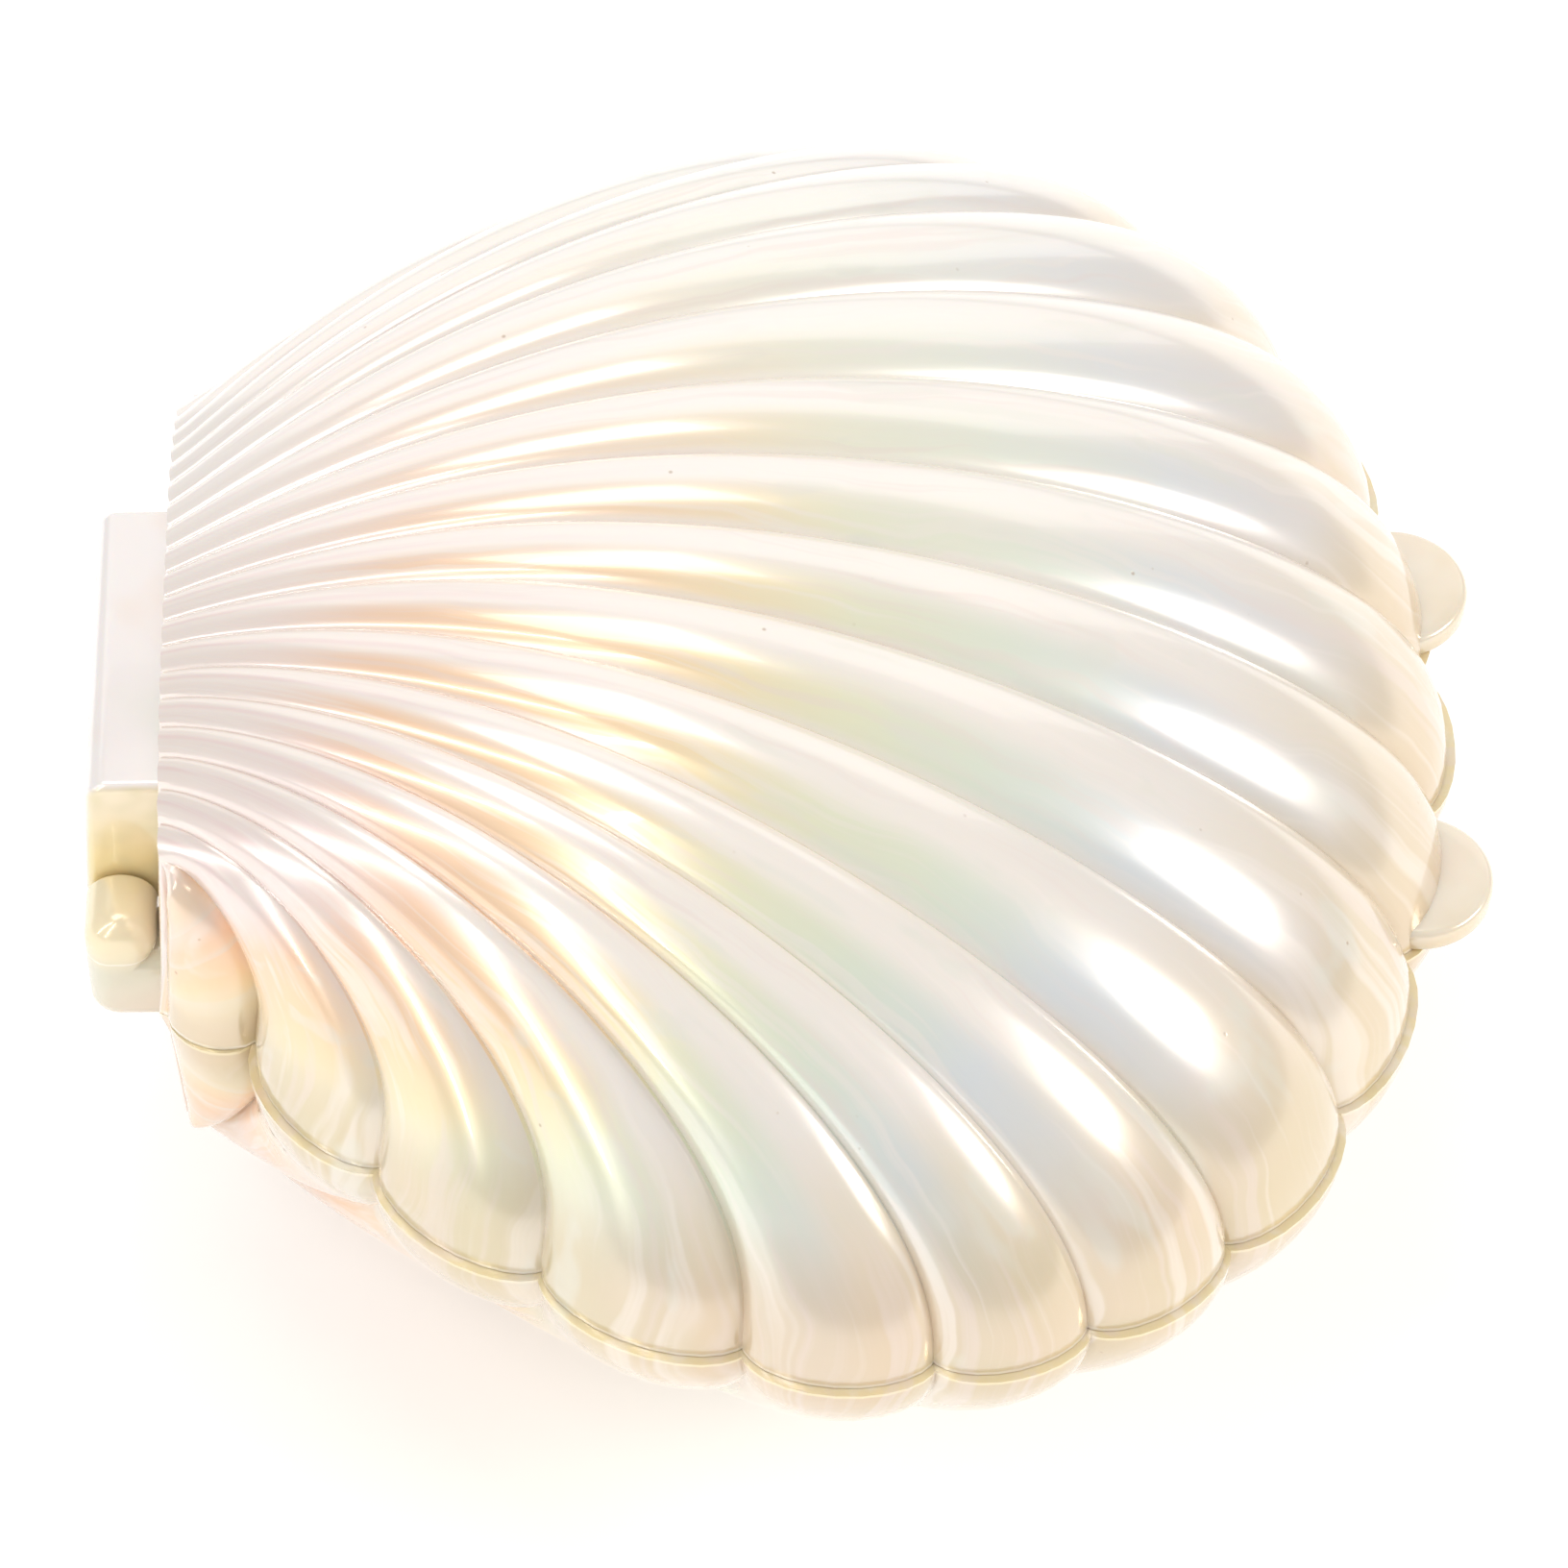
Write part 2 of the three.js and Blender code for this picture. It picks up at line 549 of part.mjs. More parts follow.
// ---- small hardware -----------------------------------------------------------------------------
// A slotted screw standing in +Z, its head's underside at seat and its shank reaching down to tip.
function screw(seat, tip, x, depth) {
  const slot = new THREE.BoxGeometry(2 * HEAD_RADIUS + 1, SLOT_WIDTH, 2 * SLOT_DEPTH);
  slot.translate(x, -depth, seat + HEAD_HEIGHT);
  return post(HEAD_RADIUS, seat, seat + HEAD_HEIGHT, x, depth)
    .add(post(SCREW_RADIUS, tip, seat + HEAD_HEIGHT / 2, x, depth, 12))
    .subtract(solid(slot));
}

// The bell's screw points up, so it is the same screw turned over.
function hangingScrew(seat, tip, x, depth) {
  const slot = new THREE.BoxGeometry(2 * HEAD_RADIUS + 1, SLOT_WIDTH, 2 * SLOT_DEPTH);
  slot.translate(x, -depth, seat - HEAD_HEIGHT);
  return post(HEAD_RADIUS, seat - HEAD_HEIGHT, seat, x, depth)
    .add(post(SCREW_RADIUS, seat - HEAD_HEIGHT / 2, tip, x, depth, 12))
    .subtract(solid(slot));
}

function hingePin() {
  return crossBar(PIN_RADIUS, -PIN_HALF, PIN_HALF, 16);
}

function hingePinPlug() {
  return crossBar(PLUG_RADIUS, KNUCKLE_REACH - PLUG_LENGTH, KNUCKLE_REACH, 20);
}

function footPad(x, depth) {
  const top = FOOT_BOSS_BOTTOM - GAP;
  const bottom = top - PAD_THICK;
  const rounded = turned([
    [0, bottom], [PAD_RADIUS - PAD_ROUND, bottom], [PAD_RADIUS, bottom + PAD_ROUND],
    [PAD_RADIUS, top], [0, top],
  ], depth, 24);
  rounded.translate(x, 0, 0);
  return solid(rounded);
}

// ---- ballast ------------------------------------------------------------------------------------
function ballastWeight() {
  const disc = solid(turned([
    [0, BALLAST_BOTTOM], [BALLAST_RADIUS - BALLAST_CHAMFER, BALLAST_BOTTOM],
    [BALLAST_RADIUS, BALLAST_BOTTOM + BALLAST_CHAMFER], [BALLAST_RADIUS, BALLAST_TOP], [0, BALLAST_TOP],
  ], WORKS_DEPTH, 40));
  return disc
    .subtract(drilled(ballastBoltPlaces(), BALLAST_BOTTOM - 1, BALLAST_TOP + 1))
    .subtract(drilled(holderScrewPlaces(), BALLAST_BOTTOM - 1, BALLAST_TOP + 1));
}

// ---- air stone, holder and duct -----------------------------------------------------------------
const HOLDER_BOTTOM = BALLAST_TOP + GAP;
const HOLDER_SEAT = HOLDER_BOTTOM + HOLDER_FLANGE_THICK;
const HOLDER_TOP = HOLDER_BOTTOM + HOLDER_HEIGHT;
const STONE_BOTTOM = HOLDER_BOTTOM + HOLDER_FLOOR + GAP;
const STONE_TOP = STONE_BOTTOM + STONE_HEIGHT;
const NOZZLE_RISE = 2; // the nozzle's axis above the cup's floor
const NOZZLE_HEIGHT = HOLDER_BOTTOM + HOLDER_FLOOR + NOZZLE_RISE;

function holderScrewPlaces() {
  return [[-HOLDER_BOLT_REACH, WORKS_DEPTH], [HOLDER_BOLT_REACH, WORKS_DEPTH]];
}

function stoneHolder() {
  const cup = solid(turned([
    [0, HOLDER_BOTTOM], [HOLDER_FLANGE_RADIUS, HOLDER_BOTTOM], [HOLDER_FLANGE_RADIUS, HOLDER_SEAT],
    [HOLDER_RADIUS, HOLDER_SEAT], [HOLDER_RADIUS, HOLDER_TOP], [STONE_RADIUS + GAP, HOLDER_TOP],
    [STONE_RADIUS + GAP, HOLDER_BOTTOM + HOLDER_FLOOR], [0, HOLDER_BOTTOM + HOLDER_FLOOR],
  ], WORKS_DEPTH, 32));
  const nozzleTip = WORKS_DEPTH - HOLDER_RADIUS - NOZZLE_LENGTH;
  const cupWall = WORKS_DEPTH - STONE_RADIUS - 2 * GAP;
  return cup
    .add(depthBar(NOZZLE_RADIUS, nozzleTip, cupWall, NOZZLE_HEIGHT))
    .subtract(depthBar(AIRWAY_RADIUS, nozzleTip - 1, WORKS_DEPTH - STONE_RADIUS, NOZZLE_HEIGHT, 10))
    .subtract(drilled(holderScrewPlaces(), HOLDER_BOTTOM - 1, HOLDER_SEAT + 1));
}

function airStone() {
  const profile = [[0, STONE_BOTTOM], [STONE_RADIUS, STONE_BOTTOM], [STONE_RADIUS, STONE_TOP - STONE_CROWN]];
  for (let k = 1; k <= 3; k++) {
    const turn = (k * Math.PI) / 6;
    profile.push([STONE_RADIUS - STONE_CROWN + STONE_CROWN * Math.cos(turn),
      STONE_TOP - STONE_CROWN + STONE_CROWN * Math.sin(turn)]);
  }
  profile.push([0, STONE_TOP]);
  return solid(turned(profile, WORKS_DEPTH));
}

const SEAL_BOTTOM = INLET_BOSS_TOP + GAP;
const NUT_BOTTOM = SEAL_BOTTOM + SEAL_THICK + GAP;
const STEM_TOP = NUT_BOTTOM + NUT_THICK + STEM_PROUD;
const NOZZLE_TOP = STEM_TOP + NOZZLE_LENGTH;

function airDuct() {
  const overlap = NOZZLE_LENGTH - GAP;
  const start = new THREE.Vector3(0, -INLET_DEPTH, NOZZLE_TOP - overlap);
  const endDepth = WORKS_DEPTH - HOLDER_RADIUS - GAP;
  const end = new THREE.Vector3(0, -endDepth, NOZZLE_HEIGHT);
  const route = new THREE.CurvePath();
  const riser = new THREE.Vector3(0, -INLET_DEPTH, NOZZLE_TOP);
  const landing = new THREE.Vector3(0, -endDepth + NOZZLE_LENGTH, NOZZLE_HEIGHT);
  route.add(new THREE.LineCurve3(start, riser));
  route.add(new THREE.CubicBezierCurve3(
    riser, riser.clone().add(new THREE.Vector3(0, 0, DUCT_ARCH)),
    landing.clone().add(new THREE.Vector3(0, DUCT_ARCH, 0)), landing));
  route.add(new THREE.LineCurve3(landing, end));
  const section = new THREE.Shape().absarc(0, 0, DUCT_RADIUS, 0, 2 * Math.PI, false);
  section.holes.push(new THREE.Path().absarc(0, 0, DUCT_BORE, 0, 2 * Math.PI, true));
  const tube = { steps: 14, curveSegments: 5, extrudePath: route, bevelEnabled: false };
  return solid(new THREE.ExtrudeGeometry(section, tube));
}

// ---- inlet: elbow with hose tail, seal and nut --------------------------------------------------
const FLANGE_TOP = INLET_BOSS_BOTTOM - GAP;
const TAIL_HEIGHT = INLET_BOSS_BOTTOM - TAIL_DROP;

function ring(outer, inner, bottom, top, sides = 28) {
  return post(outer, bottom, top, 0, INLET_DEPTH, sides)
    .subtract(post(inner, bottom - 1, top + 1, 0, INLET_DEPTH));
}

function hoseTail() {
  const tip = INLET_DEPTH - TAIL_LENGTH;
  let tail = depthBar(TAIL_RADIUS, tip, INLET_DEPTH, TAIL_HEIGHT);
  for (let k = 0; k < BARBS; k++) {
    const cone = new THREE.CylinderGeometry(TAIL_RADIUS, TAIL_RADIUS + BARB_STEP, BARB_LENGTH, 16);
    cone.translate(0, -(tip + BARB_START + BARB_PITCH * k), TAIL_HEIGHT);
    tail = tail.add(solid(cone));
  }
  return tail;
}

function inletElbow() {
  return post(STEM_RADIUS, TAIL_HEIGHT - TAIL_RADIUS, STEM_TOP, 0, INLET_DEPTH)
    .add(post(NOZZLE_RADIUS, STEM_TOP - 1, NOZZLE_TOP, 0, INLET_DEPTH, 16))
    .add(post(FLANGE_RADIUS, FLANGE_TOP - FLANGE_THICK, FLANGE_TOP, 0, INLET_DEPTH))
    .add(hoseTail())
    .subtract(post(AIRWAY_RADIUS, TAIL_HEIGHT, NOZZLE_TOP + 1, 0, INLET_DEPTH, 10))
    .subtract(depthBar(AIRWAY_RADIUS, INLET_DEPTH - TAIL_LENGTH - 1, INLET_DEPTH, TAIL_HEIGHT, 10));
}

// ---- deck, cup and pearl ------------------------------------------------------------------------
const CUP_BOTTOM = DECK_TOP + GAP;
const PEARL_HEIGHT = CUP_BOTTOM + CUP_FOOT + PEARL_RADIUS;

function deckPlate() {
  const outline = new THREE.Shape();
  const points = [];
  for (let k = 0; k <= DECK_STEPS; k++) {
    points.push(rimPoint(THREE.MathUtils.lerp(-DECK_FAN, DECK_FAN, k / DECK_STEPS), RIM_RADIUS - DECK_INSET));
  }
  outline.setFromPoints(points.map((point) => new THREE.Vector2(point.x, -point.y)));
  const plate = new THREE.ExtrudeGeometry(outline, { depth: DECK_THICK, bevelEnabled: false });
  plate.translate(0, 0, DECK_UNDERSIDE);
  return solid(plate)
    .subtract(post(STONE_RADIUS + STONE_CLEARANCE, DECK_UNDERSIDE - 1, DECK_TOP + 1, 0, WORKS_DEPTH, 32))
    .subtract(post(CUP_STEM_RADIUS + GAP, DECK_UNDERSIDE - 1, DECK_TOP + 1, 0, PEARL_DEPTH))
    .subtract(drilled(deckScrewPlaces(), DECK_UNDERSIDE - 1, DECK_TOP + 1));
}

// The cup's seat follows the pearl at one gap.
function pearlCup() {
  const seatRadius = PEARL_RADIUS + GAP;
  const lip = Math.acos((PEARL_HEIGHT - CUP_BOTTOM - CUP_FOOT - PEARL_SINK) / seatRadius);
  const profile = [
    [0, CUP_BOTTOM - CUP_STEM_LENGTH], [CUP_STEM_RADIUS, CUP_BOTTOM - CUP_STEM_LENGTH],
    [CUP_STEM_RADIUS, CUP_BOTTOM], [CUP_RADIUS, CUP_BOTTOM],
    [CUP_RADIUS, PEARL_HEIGHT - seatRadius * Math.cos(lip)],
  ];
  for (let k = 0; k <= 4; k++) {
    const turn = lip * (1 - k / 4);
    profile.push([seatRadius * Math.sin(turn), PEARL_HEIGHT - seatRadius * Math.cos(turn)]);
  }
  return solid(turned(profile, PEARL_DEPTH));
}

function pearl() {
  const geometry = new THREE.SphereGeometry(PEARL_RADIUS, 24, 14);
  geometry.translate(0, -PEARL_DEPTH, PEARL_HEIGHT);
  return solid(geometry);
}

// ---- bell ---------------------------------------------------------------------------------------
const BELL_CEILING = BELL_TOP - BELL_WALL;

function airBell() {
  const inner = BELL_RADIUS - BELL_WALL;
  const profile = [
    [0, BELL_TOP], [BELL_RADIUS - BELL_CORNER, BELL_TOP], [BELL_RADIUS, BELL_TOP - BELL_CORNER],
    [BELL_RADIUS, BELL_MOUTH], [inner, BELL_MOUTH], [inner, BELL_CEILING - BELL_CORNER + BELL_WALL],
    [inner - BELL_CORNER + BELL_WALL, BELL_CEILING], [0, BELL_CEILING],
  ];
  return solid(turned(profile.reverse(), WORKS_DEPTH, 32))
    .subtract(post(SCREW_RADIUS + GAP, BELL_CEILING - 1, BELL_TOP + 1, 0, WORKS_DEPTH));
}

// ---- assembly -----------------------------------------------------------------------------------
const FRONT_REACH = TAB_CENTRE_DEPTH + TAB_RADIUS;
const REAR_REACH = AXIS_DEPTH - BARREL_RADIUS;
const STAND_HEIGHT = -(FOOT_BOSS_BOTTOM - GAP - PAD_THICK);
const MIDDLE_DEPTH = (FRONT_REACH + REAR_REACH) / 2;

const assembly = new THREE.Group();
assembly.position.set(0, MIDDLE_DEPTH, STAND_HEIGHT);

function addPiece(name, body, look) {
  const geometry = body.isBufferGeometry ? body : geometryOf(body);
  const mesh = new THREE.Mesh(geometry, new THREE.MeshStandardMaterial(look));
  mesh.name = name;
  assembly.add(mesh);
}

function addSeries(name, places, make, look) {
  places.forEach(([x, depth], k) => addPiece(`${name}_${k + 1}`, make(x, depth), look));
}

addPiece("lid_valve", lidValve(), PEARL_WHITE);
addPiece("base_valve", baseValve(), PEARL_WHITE);
addPiece("hinge_pin", hingePin(), STEEL);
addPiece("hinge_pin_plug", hingePinPlug(), PEARL_WHITE);
addPiece("air_bell", airBell(), CLEAR_BLUE);
addPiece("bell_screw", hangingScrew(BELL_CEILING - GAP, BELL_TOP + BELL_SCREW_GRIP, 0, WORKS_DEPTH), STEEL);
addPiece("ballast_weight", ballastWeight(), STEEL);
addSeries("ballast_screw", ballastBoltPlaces(),
  (x, depth) => screw(BALLAST_TOP + GAP, BALLAST_BOSS_TOP - BALLAST_GRIP, x, depth), STEEL);
addPiece("stone_holder", stoneHolder(), CLEAR_BLUE);
addSeries("holder_screw", holderScrewPlaces(),
  (x, depth) => screw(HOLDER_SEAT + GAP, BALLAST_BOTTOM + GAP, x, depth), STEEL);
addPiece("air_stone", airStone(), STONE_GREY);
addPiece("air_duct", airDuct(), CLEAR_BLUE);
addPiece("inlet_elbow", inletElbow(), CLEAR_BLUE);
const inletSeal = ring(SEAL_RADIUS, STEM_RADIUS + GAP, SEAL_BOTTOM, SEAL_BOTTOM + SEAL_THICK);
addPiece("inlet_seal", inletSeal, DARK_RUBBER);
addPiece("inlet_nut", ring(NUT_RADIUS, STEM_RADIUS + GAP, NUT_BOTTOM, NUT_BOTTOM + NUT_THICK, 6), CLEAR_BLUE);
addPiece("deck_plate", deckPlate(), DECK_CREAM);
addSeries("deck_screw", deckScrewPlaces(),
  (x, depth) => screw(DECK_TOP + GAP, POST_TOP - POST_GRIP, x, depth), STEEL);
addPiece("pearl_cup", pearlCup(), DECK_CREAM);
addPiece("pearl", pearl(), PEARL_LUSTRE);
addSeries("foot_pad", footPlaces(), footPad, DARK_RUBBER);

export default assembly;
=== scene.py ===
"""Bubbling clam-shell ornament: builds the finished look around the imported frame."""

import json
import math

import bmesh
import bpy
import numpy as np
from bpy.props import FloatProperty, FloatVectorProperty, IntProperty, PointerProperty
from mathutils import Matrix, Vector
from mathutils.bvhtree import BVHTree


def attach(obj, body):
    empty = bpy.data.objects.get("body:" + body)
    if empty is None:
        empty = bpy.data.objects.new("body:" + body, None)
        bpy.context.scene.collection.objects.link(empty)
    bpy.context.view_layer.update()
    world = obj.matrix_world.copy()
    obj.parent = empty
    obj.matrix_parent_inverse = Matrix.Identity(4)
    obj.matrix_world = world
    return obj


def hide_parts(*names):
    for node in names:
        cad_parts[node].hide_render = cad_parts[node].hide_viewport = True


bl_info = {
    "name": "Bubbling Clam Shell",
    "version": (1, 0, 0),
    "blender": (4, 5, 0),
    "location": "3D View > Sidebar > Clam Shell",
    "description": "Builds a pearly clam-shell ornament with a hinged lid and its works",
    "category": "Object",
}

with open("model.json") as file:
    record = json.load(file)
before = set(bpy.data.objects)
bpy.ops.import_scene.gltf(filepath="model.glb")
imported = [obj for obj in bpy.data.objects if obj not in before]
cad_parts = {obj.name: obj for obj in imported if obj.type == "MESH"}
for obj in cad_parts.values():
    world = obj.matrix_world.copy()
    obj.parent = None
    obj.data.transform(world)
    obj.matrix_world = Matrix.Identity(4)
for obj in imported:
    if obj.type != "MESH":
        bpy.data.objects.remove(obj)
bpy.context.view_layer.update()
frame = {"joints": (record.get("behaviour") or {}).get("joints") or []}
HINGE = Vector(frame["joints"][0]["pos_m"])
MM = 0.001

# ---- the shell's own drawing, in millimetres ----
# depth runs from the rear edge of the fluting toward the mouth, height from the parting plane
AXIS_DEPTH = -3.9
AXIS_HEIGHT = 1.2
FLUTES = 19
FAN_ANGLES = (15.5, 15.5, 16, 15, 12.5, 11.5, 14, 17, 17.5, 18)
RIM_CENTRE = 42.2
RIM_RADIUS = 48.6
RIM_SWELL = 7.35
SWELL_ANGLE = 68
SWELL_SPREAD = 34
REAR_TUCK = 3.6
ROOT_HALF = 20.8
ROOT_HEIGHT = 20.0
ROOT_DROP = 5
CROWN = 18.8
CROWN_LENGTH = 90
FALL_END = 1.8
FLUTE_ROUND = 0.92
OUTER_BULGE = 0.155
INNER_BULGE = 0.09
ROW_CROWDING = 2.2
LINING_LINES = 29
WORKS_DEPTH = 38.0
DECK_TOP = -5.0
DECK_BOTTOM = -6.5
DECK_SCREWS = ((-29, 30), (29, 30), (-24, 72), (24, 72))
DECK_FAN = 118
DECK_INSET = 7.5
DECK_SCREW_BORE = 1.4
STONE_RADIUS = 6.0
STONE_ROOM = 1.6
PEARL_RADIUS = 8.0
PEARL_PLACE = (66.0, 4.9)
SEAT_RADIUS = 8.3
CUP_LIP = math.radians(44.7)
FEET = ((-20, 24), (20, 24), (-20, 58), (20, 58))
BALLAST_BOLTS = tuple(
    (15 * math.cos(math.radians(90 + 120 * k)), WORKS_DEPTH + 15 * math.sin(math.radians(90 + 120 * k)))
    for k in range(3))
EAR_COLUMNS = 10
EAR_TOP = (21.9, 0.3)
EAR_FOOT = (23.2, 0.6)
EAR_SETBACK = 1.0
EAR_ROUND = 1.7
EAR_SINK = 2.4
EAR_PUFF = 1.7
REAR_HALF = 22.9
REAR_ROWS = 6
REAR_ACROSS = 0.75
TAB_HALF_SPACING = 13.4
TAB_DEPTH = 89.2
TAB_THICK = 1.9
TAB_LOW_EDGE = 0.35
TAB_TOP_EDGE = 0.55
HINGE_BARREL = 2.6
HINGE_REAR = -AXIS_DEPTH + HINGE_BARREL
BAR_HALF = 12.9
KNUCKLE_START = 13.2
KNUCKLE_REACH = 18.7
PIN_BORE = 1.2
PLUG_BORE = 1.9
BLIND_END = 17.5
PLUG_SEAT = 17.6
CREASE = math.radians(38)

# rows of a piece's bosses: radius, height of the face, places, wall lies above, sink into the wall, edge
BOSSES = {
    "base_feet": ((4.6, -31.4, FEET, True, 0.8, 0.6),),
    "base_posts": ((3.4, -22.8, BALLAST_BOLTS, False, -0.8, 0.4), (3.2, -6.8, DECK_SCREWS, False, -0.8, 0.4),
                   (6.0, -21.2, ((0, 13),), False, -0.8, 0.4)),
    "lid_boss": ((3.4, 23.9, ((0, WORKS_DEPTH),), True, 0.8, 0.4),),
}
# corners of the turned pieces: distance from the axis, height, rounding
BELL = ((0, 22.4, 0), (11.8, 22.4, 1.8), (11.8, 8.0, 0.3), (13.0, 8.0, 0.5), (13.0, 23.6, 3.0), (0, 23.6, 0))
STONE = ((0, -15.2, 0), (STONE_RADIUS, -15.2, 0.4), (STONE_RADIUS, -1.8, 1.4), (0, -1.8, 0))
HOLDER = ((0, -17.7, 0), (12.3, -17.7, 0.3), (12.3, -16.1, 0.4), (7.6, -16.1, 0.5), (7.6, -9.7, 0.3),
          (6.3, -9.7, 0.3), (6.3, -15.5, 0.3), (0, -15.5, 0))
BALLAST = ((0, -22.5, 0), (16.4, -22.5, 0.3), (19.0, -19.9, 0.3), (19.0, -18.0, 0.4), (0, -18.0, 0))
PAD = ((0, -33.3, 0), (4.2, -33.3, 0.6), (4.2, -31.7, 0.2), (0, -31.7, 0))
CUP_FOOT = ((0, -8.1, 0), (2, -8.1, 0.4), (2, -4.7, 0), (6.4, -4.7, 0.4))
NOZZLE_PATH = ((27.4, -13.5), (31.2, -13.5))
NOZZLE_RADII = (1.2, 0.7)
DUCT_RADII = (2.3, 1.5)

# azimuth from the mouth toward the far side, elevation, width, height, distance, power, colour
LAMPS = (
    ("front_box", -14, 34, 0.36, 0.17, 0.75, 1.9, (1.0, 0.955, 0.9)),
    ("rear_strip", -130, 38, 0.028, 0.90, 0.80, 1.1, (1.0, 1.0, 1.0)),
    ("hinge_strip", -158, 38, 0.03, 0.90, 0.80, 1.0, (1.0, 0.99, 1.0)),
    ("far_wall", 92, 28, 1.5, 0.9, 1.0, 2.0, (1.0, 0.985, 0.97)),
    ("top_box", 120, 72, 0.5, 0.3, 0.9, 1.2, (1.0, 0.99, 0.97)),
)
AIR_COLOUR = (1.0, 0.99, 0.975, 1.0)
AIR_STRENGTH = 0.565
FLOOR_HALF = 3.0
CAMERA_RISE = 52.24
CAMERA_SWING = 0.88
CAMERA_AWAY = 0.5546
CAMERA_AIM = (1.967, 45.578)
FRAME_WIDTH = 1632
FOCAL_LENGTH = 7875.2
SHIFT_RIGHT, SHIFT_UP = 24, 56
SENSOR = 36.0


def place(x, depth, height):
    """A point of the shell's drawing, in metres in the frame."""
    return Vector((x * MM, HINGE.y + (AXIS_DEPTH - depth) * MM, HINGE.z + (height - AXIS_HEIGHT) * MM))


def place_all(points):
    """The same for an array of x, depth, height rows."""
    out = np.empty_like(points)
    out[..., 0] = points[..., 0] * MM
    out[..., 1] = HINGE.y + (AXIS_DEPTH - points[..., 1]) * MM
    out[..., 2] = HINGE.z + (points[..., 2] - AXIS_HEIGHT) * MM
    return out


# ---- settings ----
class ShellSizes(bpy.types.PropertyGroup):
    """Sizes of the two valves."""

    wall: FloatProperty(
        name="Wall", description="Thickness of the moulded wall", default=1.6 * MM, unit="LENGTH")
    ledge: FloatProperty(
        name="Ledge", description="Width of the lower valve's rim that shows below the lid",
        default=0.62 * MM, unit="LENGTH")
    seam: FloatProperty(
        name="Seam", description="Gap between the closed valves", default=0.06 * MM, unit="LENGTH")
    flute_columns: IntProperty(
        name="Columns per flute", description="Mesh columns across one flute", default=12)
    rows: IntProperty(name="Rows", description="Mesh rows from hinge to rim", default=84)
    tab_radius: FloatProperty(
        name="Tab radius", description="Radius of a thumb tab", default=5.5 * MM, unit="LENGTH")


class ShellColours(bpy.types.PropertyGroup):
    """Colours of the ornament."""

    cream: FloatVectorProperty(
        name="Cream", description="Body colour of the pearly plastic", subtype="COLOR", size=3,
        default=(0.85, 0.76, 0.66))
    tan: FloatVectorProperty(
        name="Tan", description="Colour of the wall where it thins to the rim", subtype="COLOR", size=3,
        default=(0.72, 0.54, 0.36))
    amber: FloatVectorProperty(
        name="Amber", description="Glow of the shaded underside", subtype="COLOR", size=3,
        default=(0.62, 0.38, 0.14))
    tint: FloatVectorProperty(
        name="Works tint", description="Colour of the clear plastic works", subtype="COLOR", size=3,
        default=(0.66, 0.84, 0.88))
    rubber: FloatVectorProperty(
        name="Rubber", description="Colour of pads and seal", subtype="COLOR", size=3,
        default=(0.035, 0.036, 0.038))


# ---- shader writing ----
def maths(operation, swapped=False):
    """A method of Wire that adds one Math node."""
    def method(self, *others):
        inputs = (*others, self) if swapped else (self, *others)
        return self.paint.node("ShaderNodeMath", {"operation": operation}, dict(enumerate(inputs)))

    return method


class Wire:
    """A node socket that can be added, multiplied and so on; each use adds a Math node."""

    __add__ = maths("ADD")
    __radd__ = maths("ADD", swapped=True)
    __sub__ = maths("SUBTRACT")
    __rsub__ = maths("SUBTRACT", swapped=True)
    __mul__ = maths("MULTIPLY")
    __rmul__ = maths("MULTIPLY", swapped=True)
    __abs__ = maths("ABSOLUTE")

    def __init__(self, paint, socket):
        self.paint = paint
        self.socket = socket

    def clamped(self):
        """The value held between 0 and 1."""
        found = self + 0.0
        found.socket.node.use_clamp = True
        return found

    def smooth(self, low, high):
        """0 below low, 1 above high and eased between."""
        values = {"Value": self, "From Min": low, "From Max": high}
        return self.paint.node("ShaderNodeMapRange", {"interpolation_type": "SMOOTHSTEP"}, values, "Result")

    def bump_at(self, centre, half):
        """1 at centre, easing to 0 at half away on both sides."""
        return 1 - abs(self - centre).smooth(0.0, half)


